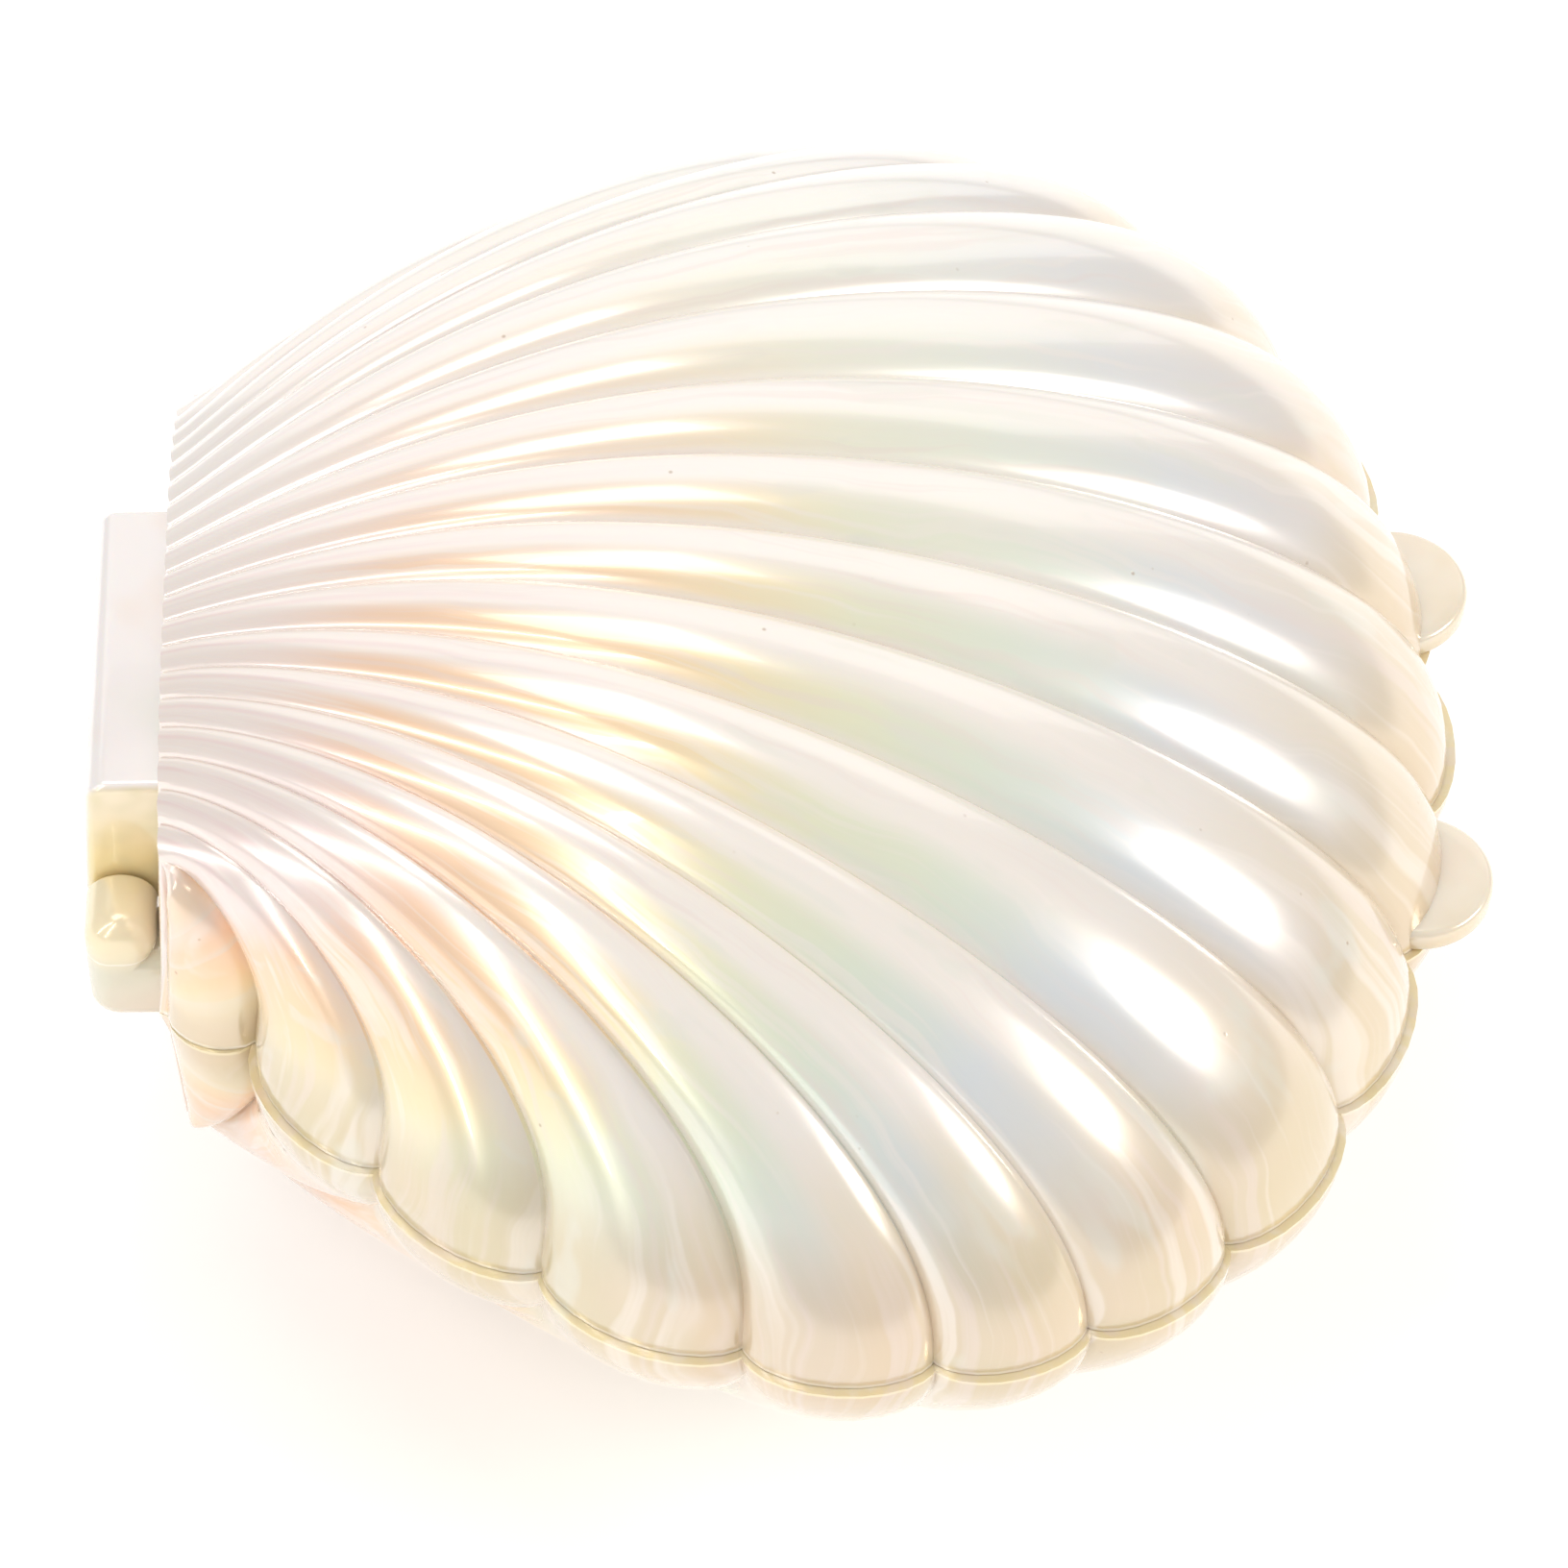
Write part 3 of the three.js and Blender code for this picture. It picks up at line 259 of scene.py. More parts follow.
class Paint:
    """A material under construction."""

    def __init__(self, name):
        self.material = bpy.data.materials.new(name)
        self.material.use_nodes = True
        self.tree = self.material.node_tree
        self.shader = self.tree.nodes["Principled BSDF"]

    def node(self, kind, settings=None, values=None, output=0):
        """Adds a node, makes its settings, then sets or links its inputs."""
        made = self.tree.nodes.new(kind)
        for name, value in (settings or {}).items():
            if name == "stops":
                self._stops(made.color_ramp, value)
            else:
                setattr(made, name, value)
        for name, value in (values or {}).items():
            self._feed(made.inputs[name], value)
        return Wire(self, made.outputs[output])

    def _stops(self, ramp, stops):
        while len(ramp.elements) < len(stops):
            ramp.elements.new(1.0)
        for element, (position, *colour) in zip(ramp.elements, stops):
            element.position = position
            element.color = (*tone(*colour), 1.0)

    def _feed(self, socket, value):
        if isinstance(value, Wire):
            self.tree.links.new(value.socket, socket)
        elif socket.type == "RGBA":
            socket.default_value = (*value, 1.0)
        else:
            socket.default_value = value

    def set(self, **values):
        """Sets or links inputs of the surface shader; underscores stand for spaces."""
        for name, value in values.items():
            self._feed(self.shader.inputs[name.replace("_", " ")], value)

    def measure(self, name):
        """A number stored on the mesh."""
        return self.node("ShaderNodeAttribute", {"attribute_name": name}, output="Fac")

    def where(self):
        """The place on the piece, in metres."""
        return self.node("ShaderNodeTexCoord", output="Object")

    def noise(self, scale, detail=2.0, vector=None):
        values = {"Vector": vector or self.where(), "Scale": scale, "Detail": detail}
        return self.node("ShaderNodeTexNoise", values=values, output="Fac")

    def specks(self, scale):
        """Distance to the nearest of many scattered points."""
        values = {"Vector": self.where(), "Scale": scale}
        return self.node("ShaderNodeTexVoronoi", values=values, output="Distance")

    def ramp(self, value, stops):
        return self.node("ShaderNodeValToRGB", {"stops": stops}, {"Fac": value}, output="Color")

    def blend(self, share, a, b):
        """Colour b over colour a."""
        settings = {"data_type": "RGBA", "clamp_factor": True}
        return self.node("ShaderNodeMix", settings, {0: share, 6: a, 7: b}, output=2)

    def coats(self, colour, *coats):
        """Lays coats, each a share and a colour, one over the other."""
        for share, over in coats:
            colour = self.blend(share, colour, over)
        return colour

    def vector(self, x, y, z):
        return self.node("ShaderNodeCombineXYZ", values={"X": x, "Y": y, "Z": z})

    def relief(self, height, strength, distance):
        values = {"Height": height, "Strength": strength, "Distance": distance}
        return self.node("ShaderNodeBump", values=values, output="Normal")


def tone(red, green, blue):
    """A colour given in 0 to 255 screen values, as light values."""
    def light(value):
        value /= 255
        return value / 12.92 if value <= 0.04045 else ((value + 0.055) / 1.055) ** 2.4

    return light(red), light(green), light(blue)


# ---- finishes ----
FLANK_STOPS = (
    (0.00, 244, 228, 222), (0.08, 248, 222, 210), (0.18, 253, 214, 184),
    (0.34, 252, 218, 180), (0.46, 249, 230, 190), (0.55, 238, 237, 206),
    (0.66, 229, 236, 219), (0.80, 226, 230, 233), (0.92, 234, 229, 228),
    (1.00, 232, 216, 188),
)
BACK_STOPS = (
    (0.00, 250, 238, 231), (0.30, 250, 242, 237), (0.62, 250, 243, 236),
    (0.82, 242, 236, 231), (1.00, 232, 214, 186),
)


def pearl_plastic(name, colours, shade, rim_highlight_colour):
    """Pearly moulded plastic; its interference colours follow the flutes. shade deepens it to amber."""
    paint = Paint(name)
    across = paint.measure("across")
    along = paint.measure("along")
    ranked = paint.measure("rank")
    inner = paint.measure("inner")
    drift = paint.noise(38.0, 3.0) - 0.5
    near_end = 1 - ranked.smooth(0.0, 0.3)
    band = along + drift * 0.2 - near_end * 0.42 + (ranked - 0.5) * 0.12
    side = across + drift * 0.12
    flank = side.smooth(-0.04, 0.1) * (1 - side.smooth(0.26 + near_end * 0.55, 0.6 + near_end * 0.6))
    body = paint.blend(0.2, paint.ramp(along, BACK_STOPS), colours.cream)
    film = paint.ramp(band.clamped(), FLANK_STOPS)
    # painted sheen: the film fades on the far flutes, standing in for their washed-out grazing reflection
    strength = flank * (1 - ranked.smooth(0.42, 0.9) * 0.8) * (1 - along.smooth(0.86, 1.0) * 0.7) \
        * (0.35 + 0.65 * along.smooth(0.02, 0.24))
    rose = across.bump_at(0.63, 0.12) * (1 - along.smooth(0.1, 0.5))
    thin = along.smooth(0.9, 1.0) * (1 - ranked.smooth(0.3, 0.9) * 0.5)
    olive = (drift + 0.1).smooth(0.05, 0.2) * along.smooth(0.8, 0.95) * (1 - ranked.smooth(0.2, 0.6))
    # painted highlight: a bright band on the rim face beside the parting plane, white on the lid, golden on
    # the lower valve
    rim_highlight = 1 - paint.measure("proud").smooth(0.22, 0.4)
    amber = shade * (1 - inner * 0.6) * (1 - rim_highlight) * (1 - along.smooth(0.3, 0.8) * 0.5)
    # painted sheen: the far flutes turn near white away from the rim, as their grazing reflection does
    far_painted_sheen = ranked.smooth(0.3, 0.8) * (1 - along.smooth(0.6, 0.95))
    ear = (1 - ranked.smooth(0.0, 0.004)) * along.bump_at(0.36, 0.4)
    # long pearly streaks left by the flow of the plastic, weaker on the rear wall
    flow = paint.noise(1.0, 3.0, paint.vector((ranked * FLUTES + drift) * 7.0, along * 2.4, inner))
    veil = paint.noise(1.0, 2.0, paint.vector((ranked * FLUTES) * 3.0, along * 9.0 + drift * 4.0, 4.0))
    skin = 1 - paint.measure("rear") * 0.85
    # faint flow lines of the moulding, and a few dust pits
    lines = paint.noise(1.0, 2.0, paint.vector((ranked * FLUTES + across) * 26.0, along * 5.0, 0.0))
    pits = 1 - paint.specks(420.0).smooth(0.03, 0.09)
    few = paint.noise(150.0, 0.0).smooth(0.66, 0.72)
    colour = paint.coats(
        body, (strength, film), (rose * 0.4, tone(238, 204, 206)), (thin * 0.5, colours.tan),
        (olive * 0.3, tone(206, 204, 160)), (amber, colours.amber), (rim_highlight * 0.85, rim_highlight_colour),
        (inner * 0.5, tone(240, 228, 212)), (far_painted_sheen * (1 - inner) * 0.6, tone(255, 251, 247)),
        (ear * 0.55, tone(250, 216, 168)), (flow.smooth(0.52, 0.66) * skin * 0.45, tone(252, 243, 236)),
        ((1 - flow.smooth(0.32, 0.46)) * skin * 0.4, tone(238, 222, 216)),
        (veil.smooth(0.58, 0.68) * along.smooth(0.3, 0.6) * 0.4, tone(232, 232, 222)),
        (pits * few * 0.55, tone(170, 140, 110)))
    paint.set(
        Base_Color=colour, Metallic=0.22 + flank * 0.1 + flow * 0.08,
        Roughness=0.17 + veil * 0.1 + lines * 0.025 + drift * 0.08,
        Normal=paint.relief(lines * 0.06 - pits * few + paint.noise(220.0, 1.0) * 0.35, 0.12, 0.00025),
        Coat_Weight=1.0, Coat_Roughness=0.035, Coat_IOR=1.5, IOR=1.46,
        Subsurface_Weight=0.12, Subsurface_Radius=(1.0, 0.62, 0.32), Subsurface_Scale=0.002)
    return paint.material


def plain_pearl(name, shaded_colour, lit_colour, low, high, ends=None):
    """The same plastic on hinge, tabs and feet, from one colour at height low to another at height high;
    the darker low colour is painted shade. Past the distance ends from the middle it has a painted
    amber glow, as of light through a thin end wall."""
    paint = Paint(name)
    split = paint.node("ShaderNodeSeparateXYZ", values={0: paint.where()}, output="Z")
    across = Wire(paint, split.socket.node.outputs["X"])
    drift = paint.noise(110.0, 3.0)
    # painted shade: darker toward the bottom, lighter toward the top
    level = (split + (drift - 0.5) * 0.003).smooth(place(0, 0, low).z, place(0, 0, high).z)
    colour = paint.blend(level, tone(*shaded_colour), tone(*lit_colour))
    # painted glow: the thin end walls turn amber, as if light came through them
    if ends:
        edge = abs(across).smooth((ends - 0.35) * MM, (ends + 0.1) * MM)
        colour = paint.coats(colour, (edge * (0.9 - level * 0.35), tone(250, 229, 170)),
                             (edge * drift.smooth(0.48, 0.62) * 0.5, tone(216, 206, 160)))
    # painted highlight: a bright line along the parting plane, also raised a little by the bump
    seam = 1 - abs(split - place(0, 0, 0).z).smooth(0.00006, 0.00016)
    colour = paint.coats(colour, (paint.noise(150.0, 1.0).smooth(0.5, 0.75) * 0.35, tone(246, 222, 206)),
                         (paint.noise(70.0, 2.0).smooth(0.5, 0.7) * 0.3, tone(226, 232, 214)),
                         (seam * 0.7, tone(255, 248, 232)))
    paint.set(
        Base_Color=colour, Metallic=0.2, Roughness=0.18 + drift * 0.1,
        Normal=paint.relief(paint.noise(260.0, 1.0) * 0.4 + seam, 0.2, 0.0002),
        Coat_Weight=1.0, Coat_Roughness=0.03, Coat_IOR=1.5,
        Subsurface_Weight=0.15, Subsurface_Radius=(1.0, 0.6, 0.3), Subsurface_Scale=0.002)
    return paint.material


def grained(paint, grain, patch, low, high, rough, strength, **more):
    """Two colours in soft patches under a fine grain; rough holds the least roughness and its range."""
    paint.set(Base_Color=paint.blend(patch, low, high), Roughness=rough[0] + grain * rough[1],
              Normal=paint.relief(grain, strength, 0.0001), **more)
    return paint.material


def steel():
    paint = Paint("stainless_steel")
    brushed = paint.noise(1.0, 3.0, paint.node(
        "ShaderNodeVectorMath", {"operation": "MULTIPLY"}, {0: paint.where(), 1: (200.0, 4000.0, 900.0)}))
    return grained(paint, brushed, paint.noise(300.0, 2.0) * 0.5, (0.62, 0.62, 0.61), (0.44, 0.44, 0.43),
                   (0.24, 0.2), 0.15, Metallic=1.0)


def rubber(colours):
    paint = Paint("soft_rubber")
    return grained(paint, paint.noise(1500.0, 3.0), paint.noise(120.0, 3.0), colours.rubber,
                   (0.075, 0.074, 0.072), (0.62, 0.25), 0.4)


def deck_plastic():
    paint = Paint("satin_deck")
    return grained(paint, paint.noise(1100.0, 3.0), paint.noise(60.0, 3.0) * 0.7, tone(238, 228, 208),
                   tone(226, 212, 184), (0.38, 0.15), 0.25, Coat_Weight=0.2, Coat_Roughness=0.2)


def clear_plastic(name, colours, haze):
    """Tinted clear moulding with a light haze."""
    paint = Paint(name)
    cloud = paint.noise(110.0, 3.0)
    colour = paint.blend(cloud * 0.6, colours.tint, tone(214, 232, 236))
    paint.set(Base_Color=colour, Roughness=haze + cloud * 0.12, IOR=1.46, Transmission_Weight=0.4,
              Coat_Weight=0.4, Coat_Roughness=0.08, Normal=paint.relief(paint.noise(500.0), 0.08, 0.0001))
    return paint.material


def air_stone_grit():
    paint = Paint("sintered_grit")
    grit = paint.specks(900.0)
    colour = paint.blend(paint.noise(700.0, 3.0), tone(120, 142, 156), tone(172, 188, 196))
    colour = paint.blend((1 - grit.smooth(0.05, 0.4)) * 0.6, colour, tone(84, 100, 112))
    paint.set(Base_Color=colour, Roughness=0.88 + grit * 0.1,
              Normal=paint.relief(grit.smooth(0.0, 0.6) + paint.noise(2200.0) * 0.4, 0.9, 0.0004))
    return paint.material


def nacre():
    paint = Paint("pearl_nacre")
    swirl = paint.noise(95.0, 4.0)
    colour = paint.ramp(swirl, (
        (0.3, 250, 226, 222), (0.45, 250, 242, 230), (0.55, 226, 238, 232), (0.7, 236, 230, 246)))
    paint.set(Base_Color=colour, Metallic=0.3, Roughness=0.2 + swirl * 0.12, Coat_Weight=1.0,
              Coat_Roughness=0.05, Normal=paint.relief(paint.noise(400.0, 2.0), 0.05, 0.0001))
    return paint.material


# ---- mesh writing ----
class Form:
    """Points and faces that become one piece."""

    def __init__(self):
        self.points = []
        self.faces = []
        self.measures = {}

    def add_points(self, points, **measures):
        """Adds rows of x, y, z in metres and returns their numbers."""
        first = len(self.points)
        self.points.extend(map(tuple, points))
        for name, value in measures.items():
            self.measures.setdefault(name, {}).update(
                zip(range(first, len(self.points)), np.broadcast_to(value, (len(points),))))
        return np.arange(first, len(self.points))

    def strip(self, here, there, closed=False):
        """Quads between two lines of points."""
        for k in range(len(here) if closed else len(here) - 1):
            n = (k + 1) % len(here)
            self.faces.append((here[k], here[n], there[n], there[k]))

    def skin(self, lines, closed=False, backward=False):
        """Quads between each line of points and the next."""
        for here, there in zip(lines[:-1], lines[1:]):
            self.strip(*((there, here) if backward else (here, there)), closed)

    def fan(self, centre, line):
        """Triangles from one point to a line of points."""
        self.faces += [(centre, a, b) for a, b in zip(line[:-1], line[1:])]

    def piece(self, name, material, body, slot="shell", instead=()):
        """Makes the piece, gives it its finish and lets it ride on a body."""
        mesh = bpy.data.meshes.new(name)
        faces = [tuple(int(i) for i in face) for face in self.faces]
        mesh.from_pydata(self.points, [], faces)
        for measure, values in self.measures.items():
            data = np.zeros(len(self.points), np.float32)
            data[list(values)] = list(values.values())
            mesh.attributes.new(measure, "FLOAT", "POINT").data.foreach_set("value", data)
        mesh.validate()
        mesh.shade_smooth()
        mesh.set_sharp_from_angle(angle=CREASE)
        mesh.materials.append(material)
        made = bpy.data.objects.new(name, mesh)
        bpy.context.scene.collection.objects.link(made)
        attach(made, body)
        if instead:
            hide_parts(*instead)
        close(made)
        return made


def rounded(corners, steps=5):
    """A closed outline with its corners rounded; each corner holds its place and its radius."""
    points = [Vector(corner[:2]) for corner in corners]
    found = []
    for k, (corner, (*_, radius)) in enumerate(zip(points, corners)):
        if radius <= 0:
            found.append(tuple(corner))
            continue
        before = (points[k - 1] - corner).normalized()
        after = (points[(k + 1) % len(points)] - corner).normalized()
        half = before.angle(after) / 2
        reach = radius / math.tan(half)
        centre = corner + (before + after).normalized() * (radius / math.sin(half))
        start = corner + before * reach - centre
        end = corner + after * reach - centre
        for step in range(steps + 1):
            share = step / steps
            arm = start * (1 - share) + end * share
            found.append(tuple(centre + arm.normalized() * radius))
    return found


def circle(sides):
    """Angles once round."""
    return np.linspace(0, 2 * math.pi, sides, endpoint=False)


def ring(form, turn, radius, x, depth, height):
    """Points on a level circle."""
    return form.add_points([place(x + radius * math.cos(t), depth + radius * math.sin(t), height)
                            for t in turn])


def turned(form, profile, x, depth, sides):
    """Turns a profile of radius and height about an upright axis; it starts and ends on the axis."""
    rings = []
    for radius, height in profile:
        if radius < 1e-6:
            rings.append(form.add_points([place(x, depth, height)]))
            continue
        turn = circle(sides)
        line = np.stack([x + radius * np.cos(turn), depth - radius * np.sin(turn),
                         np.full(sides, height)], axis=-1)
        rings.append(form.add_points(place_all(line)))
    for low, high in zip(rings[:-1], rings[1:]):
        if len(low) == 1:
            form.faces += [(low[0], b, a) for a, b in zip(high, np.roll(high, -1))]
        elif len(high) == 1:
            form.faces += [(a, b, high[0]) for a, b in zip(low, np.roll(low, -1))]
        else:
            form.strip(low, high, closed=True)


def turned_piece(name, material, body, profile, sides, depth=WORKS_DEPTH, **tags):
    """A piece turned about one upright axis in the shell's middle plane."""
    form = Form()
    turned(form, profile, 0, depth, sides)
    form.piece(name, material, body, **tags)


# ---- the shell's surface ----
def fan_angle(station):
    """Direction of a groove, in degrees from the mouth."""
    from_middle = np.abs(FLUTES / 2 - station)
    angle = FAN_ANGLES[0] * np.minimum(from_middle, 0.5)
    for k in range(1, len(FAN_ANGLES)):
        angle = angle + FAN_ANGLES[k] * np.clip(from_middle - k + 0.5, 0, 1)
    return np.where(station <= FLUTES / 2, -angle, angle)


def rim_point(degrees, radius):
    """A point of the smooth outline, as x and depth."""
    turn = np.abs(degrees)
    swell = RIM_SWELL * np.exp(-(((turn - SWELL_ANGLE) / SWELL_SPREAD) ** 2))
    reach = radius + swell - REAR_TUCK * np.maximum(0, turn - 90) / 50
    angle = np.radians(degrees)
    return np.stack([reach * np.sin(angle), RIM_CENTRE + reach * np.cos(angle)], axis=-1)


def bezier(q, a, b, c, d):
    """The point or points at share q of a cubic curve."""
    return (1 - q) ** 3 * a + 3 * q * (1 - q) ** 2 * b + 3 * q * q * (1 - q) * c + q ** 3 * d


class Surface:
    """One skin of a valve, outer or inner."""

    def __init__(self, inset, rim_inset, bulge):
        self.inset = inset
        self.radius = RIM_RADIUS - rim_inset
        self.bulge = bulge

    def dome(self, station, along):
        """Smooth dome through the grooves at one station, for an array of shares from root to rim."""
        across = 1 - 2 * station / FLUTES
        root = np.array([-(ROOT_HALF - self.inset) * across, self.inset])
        degrees = fan_angle(station)
        rim = rim_point(degrees, self.radius)
        tangent = rim_point(degrees + 0.5, self.radius) - rim_point(degrees - 0.5, self.radius)
        outward = np.array([-tangent[1], tangent[0]]) / np.hypot(*tangent)
        length = np.hypot(*(rim - root))
        lead = root + (0, 0.03 * length)
        arrival = rim - outward * length * (0.05 + 0.25 * across ** 2)
        q = np.linspace(0, 1, 161)[:, None]
        path = bezier(q, root, lead, arrival, rim)
        steps = np.r_[0, np.cumsum(np.hypot(*np.diff(path, axis=0).T))]
        reach = along * steps[-1]
        height = ROOT_HEIGHT - self.inset - ROOT_DROP * abs(across) ** 3
        crown = CROWN * (steps[-1] / CROWN_LENGTH) ** 1.3 * (1 - (1 - along) ** 3)
        fall = (1 - np.minimum(along, 1) ** 1.6) ** (1 / FALL_END)
        return np.stack([np.interp(reach, steps, path[:, 0]), np.interp(reach, steps, path[:, 1]),
                         fall * (height + crown)], axis=-1)

    def grid(self, stations, along):
        """Fluted surface for all stations, as x, depth, height."""
        smooth, before, after, grooves = (
            np.array([self.dome(s, along) for s in places]) for places in (
                stations, np.maximum(stations - 0.05, 0), np.minimum(stations + 0.05, FLUTES),
                np.arange(FLUTES + 1.0)))
        steps = np.gradient(smooth, axis=1)
        normal = np.cross(after - before, steps)
        normal[:, -1, 2] = 0
        normal /= np.linalg.norm(normal, axis=-1, keepdims=True)
        width = np.linalg.norm(np.diff(grooves, axis=0), axis=-1)
        flute = np.minimum(np.floor(stations + 1e-9).astype(int), FLUTES - 1)
        fraction = stations - flute
        edge = math.sqrt(1 - FLUTE_ROUND)
        crest = (np.sqrt(1 - FLUTE_ROUND * (2 * fraction - 1) ** 2) - edge) / (1 - edge)
        lift = self.bulge * width[flute] * crest[:, None]
        return smooth + normal * lift[..., None]

    def ear(self, along, sign):
        """Columns of the rounded ear beside the outermost groove, from the groove outward."""
        groove = self.dome(0.0 if sign < 0 else float(FLUTES), along)
        fall = ((1 - along) ** (1 / FALL_END))[:, None]
        top = np.array([sign * EAR_TOP[0], EAR_TOP[1], ROOT_HEIGHT - ROOT_DROP - 1.1])
        foot = np.array([sign * EAR_FOOT[0], EAR_FOOT[1] - EAR_SETBACK, 0.0])
        corner = foot + (top - foot) * fall
        corner += fall ** 5 * np.array([-sign * EAR_ROUND, 0.5, -EAR_SINK])
        columns = []
        for k in range(1, EAR_COLUMNS + 1):
            share = k / EAR_COLUMNS
            puff = EAR_PUFF * math.sin(math.pi * share) ** 0.6
            out = np.stack([np.full(len(along), sign * 1.0), np.full(len(along), -0.35),
                            0.55 * (1 - along)], axis=-1)
            rise = puff * np.minimum(1, 4 * along + 0.12)[:, None]
            columns.append(groove * (1 - share) + corner * share + out * rise)
        return np.array(columns)


def ear_across(station):
    """Where the colour bands of a flute are taken up again on the ears."""
    beyond = -station if station < 0 else station - FLUTES
    return 0.8 - 0.55 * math.sin(math.pi * beyond)


def crowded(count):
    """Shares from hinge to rim, crowded toward the rim."""
    return 1 - (1 - np.linspace(0, 1, count)) ** ROW_CROWDING


def fractions(count):
    """Shares across one flute, crowded toward its two grooves."""
    return (1 - np.cos(np.pi * np.arange(count) / count)) / 2


def valve(sizes, name, material, body, turned_over, rim_inset):
    """A whole valve: fluted outer skin with ears, rear wall, flat rim and plainer inner skin."""
    form = Form()
    wall = sizes.wall / MM
    shares = fractions(sizes.flute_columns)
    stations = np.append((np.arange(FLUTES)[:, None] + shares).ravel(), FLUTES)
    along = crowded(sizes.rows + 1)
    outer = Surface(0.0, rim_inset, OUTER_BULGE)
    skin = np.concatenate([outer.ear(along, -1)[::-1], outer.grid(stations, along), outer.ear(along, 1)])
    inner_along = crowded(LINING_LINES)
    lining = Surface(wall, wall, INNER_BULGE).grid(stations, inner_along)
    flip = -1 if turned_over else 1
    seam = sizes.seam / MM / 2

    def sheet(surface, rear_half, rear_depth, shares_along, inside, stations_here):
        """Adds a skin with its rear wall and returns its columns, foot first."""
        columns = []
        last = len(surface) - 1
        for c, column in enumerate(surface):
            share = stations_here[c] / FLUTES if inside else c / last
            foot = np.array([rear_half * (2 * share - 1), rear_depth, 0.0])
            rise = np.linspace(0, 1, REAR_ROWS, endpoint=False)[:, None]
            rear = foot + (column[0] - foot) * rise
            line = np.concatenate([rear, column])
            line[:, 2] = flip * (line[:, 2] + seam)
            station = stations_here[c]
            fraction = station - min(math.floor(station + 1e-9), FLUTES - 1)
            if not 0 <= station <= FLUTES:
                fraction = ear_across(station)
            def parts(rear_value, skin_values):
                return np.r_[np.full(REAR_ROWS, rear_value), skin_values]

            columns.append(form.add_points(
                place_all(line), across=parts(REAR_ACROSS, np.full(len(column), fraction)),
                along=parts(0.0, shares_along), rear=parts(1.0, np.zeros(len(column))),
                proud=np.abs(line[:, 2]), rank=min(max(station / FLUTES, 0), 1), inner=float(inside)))
        return columns

    beside = np.arange(EAR_COLUMNS, 0, -1) / EAR_COLUMNS
    outer_stations = np.concatenate([-beside, stations, FLUTES + beside[::-1]])
    outside = sheet(skin, REAR_HALF, -EAR_SETBACK, along, False, outer_stations)
    inside = sheet(lining, REAR_HALF - 2 * wall, wall - EAR_SETBACK, inner_along, True, stations)
    form.skin(outside)
    form.skin(inside, backward=True)
    # narrow ends of the ears and of the lining
    middle = REAR_ROWS // 2
    for columns, order in ((outside, 1), (inside, -1)):
        for column, hand in ((columns[0], order), (columns[-1], -order)):
            loop = list(column[middle + 1:]) + list(column[:middle])
            form.fan(column[middle], loop[::-hand])
    # flat rim between the two skins
    near = EAR_COLUMNS
    far = len(outside) - 1 - EAR_COLUMNS
    rim_out, rim_in = ([column[-1] for column in columns] for columns in (outside, inside))
    foot_out, foot_in = ([column[0] for column in columns] for columns in (outside, inside))
    form.strip(rim_out[near:far + 1], rim_in)
    form.strip(foot_in, foot_out[near:far + 1])
    for end, rims, feet in ((0, rim_out[:near + 1], foot_out[near::-1]), (-1, rim_out[far:], foot_out[far:])):
        centre, foot, tip = rim_in[end], foot_in[end], rims[end]
        form.fan(centre, rims)
        form.faces.append((centre, foot, tip) if end == 0 else (centre, tip, foot))
        form.fan(foot, [*feet, tip])
    if turned_over:
        form.faces = [face[::-1] for face in form.faces]
    return form.piece(name, material, body, instead=(f"{body}_valve",))


def close(piece, ends=()):
    """Fills each flat end between its loops of points, then turns every face outward."""
    mesh = bmesh.new()
    mesh.from_mesh(piece.data)
    mesh.verts.ensure_lookup_table()
    for loops in ends:
        edges = []
        for loop in loops:
            for a, b in zip(loop, np.roll(loop, -1)):
                pair = (mesh.verts[int(a)], mesh.verts[int(b)])
                edges.append(mesh.edges.get(pair) or mesh.edges.new(pair))
        bmesh.ops.triangle_fill(mesh, use_beauty=True, edges=edges)
    bmesh.ops.recalc_face_normals(mesh, faces=mesh.faces)
    mesh.to_mesh(piece.data)
    mesh.free()
    if ends:
        piece.data.shade_smooth()
        piece.data.set_sharp_from_angle(angle=CREASE)


# ---- hinge, plates, tubes and bosses ----
def arc(centre, radius, start, end, steps):
    """Points of an arc between two angles in degrees."""
    turn = np.radians(np.linspace(start, end, steps))
    return [(centre[0] + radius * math.cos(t), centre[1] + radius * math.sin(t)) for t in turn]


def bar_outline(gap):
    """Outline of the lid's hinge bar, behind the shell (first number) and up (second)."""
    centre = (-AXIS_DEPTH, AXIS_HEIGHT)
    start = 180 - math.degrees(math.asin((gap - AXIS_HEIGHT) / HINGE_BARREL))
    lower = arc(centre, HINGE_BARREL, start, 360, 18)
    corner = arc((4.3, 11.6), 1.6, 2, 90, 10)
    return [(-0.3, gap), *lower, *corner, (-0.3, 13.2)]


def knuckle_outline(gap):
    """The same for a knuckle of the lower valve."""
    centre = (-AXIS_DEPTH, AXIS_HEIGHT)
    end = 180 - math.degrees(math.asin((-gap - AXIS_HEIGHT) / HINGE_BARREL))
    corner = arc((HINGE_REAR - 2.2, -4.8), 2.2, -90, 0, 10)
    return [(-0.3, -7.0), *corner, *arc(centre, HINGE_BARREL, 0, end, 22), (-0.3, -gap)]


def inset(outline, distance):
    """The outline moved inward."""
    count = len(outline)
    moved = []
    for k in range(count):
        a, b, c = (Vector(outline[(k + j) % count]) for j in (-1, 0, 1))
        before = (b - a).normalized()
        after = (c - b).normalized()
        along = (before + after).normalized()
        inward = Vector((-along.y, along.x))
        spread = max(0.5, math.cos(before.angle(after, 0) / 2))
        moved.append(b + inward * (distance / spread))
    return moved


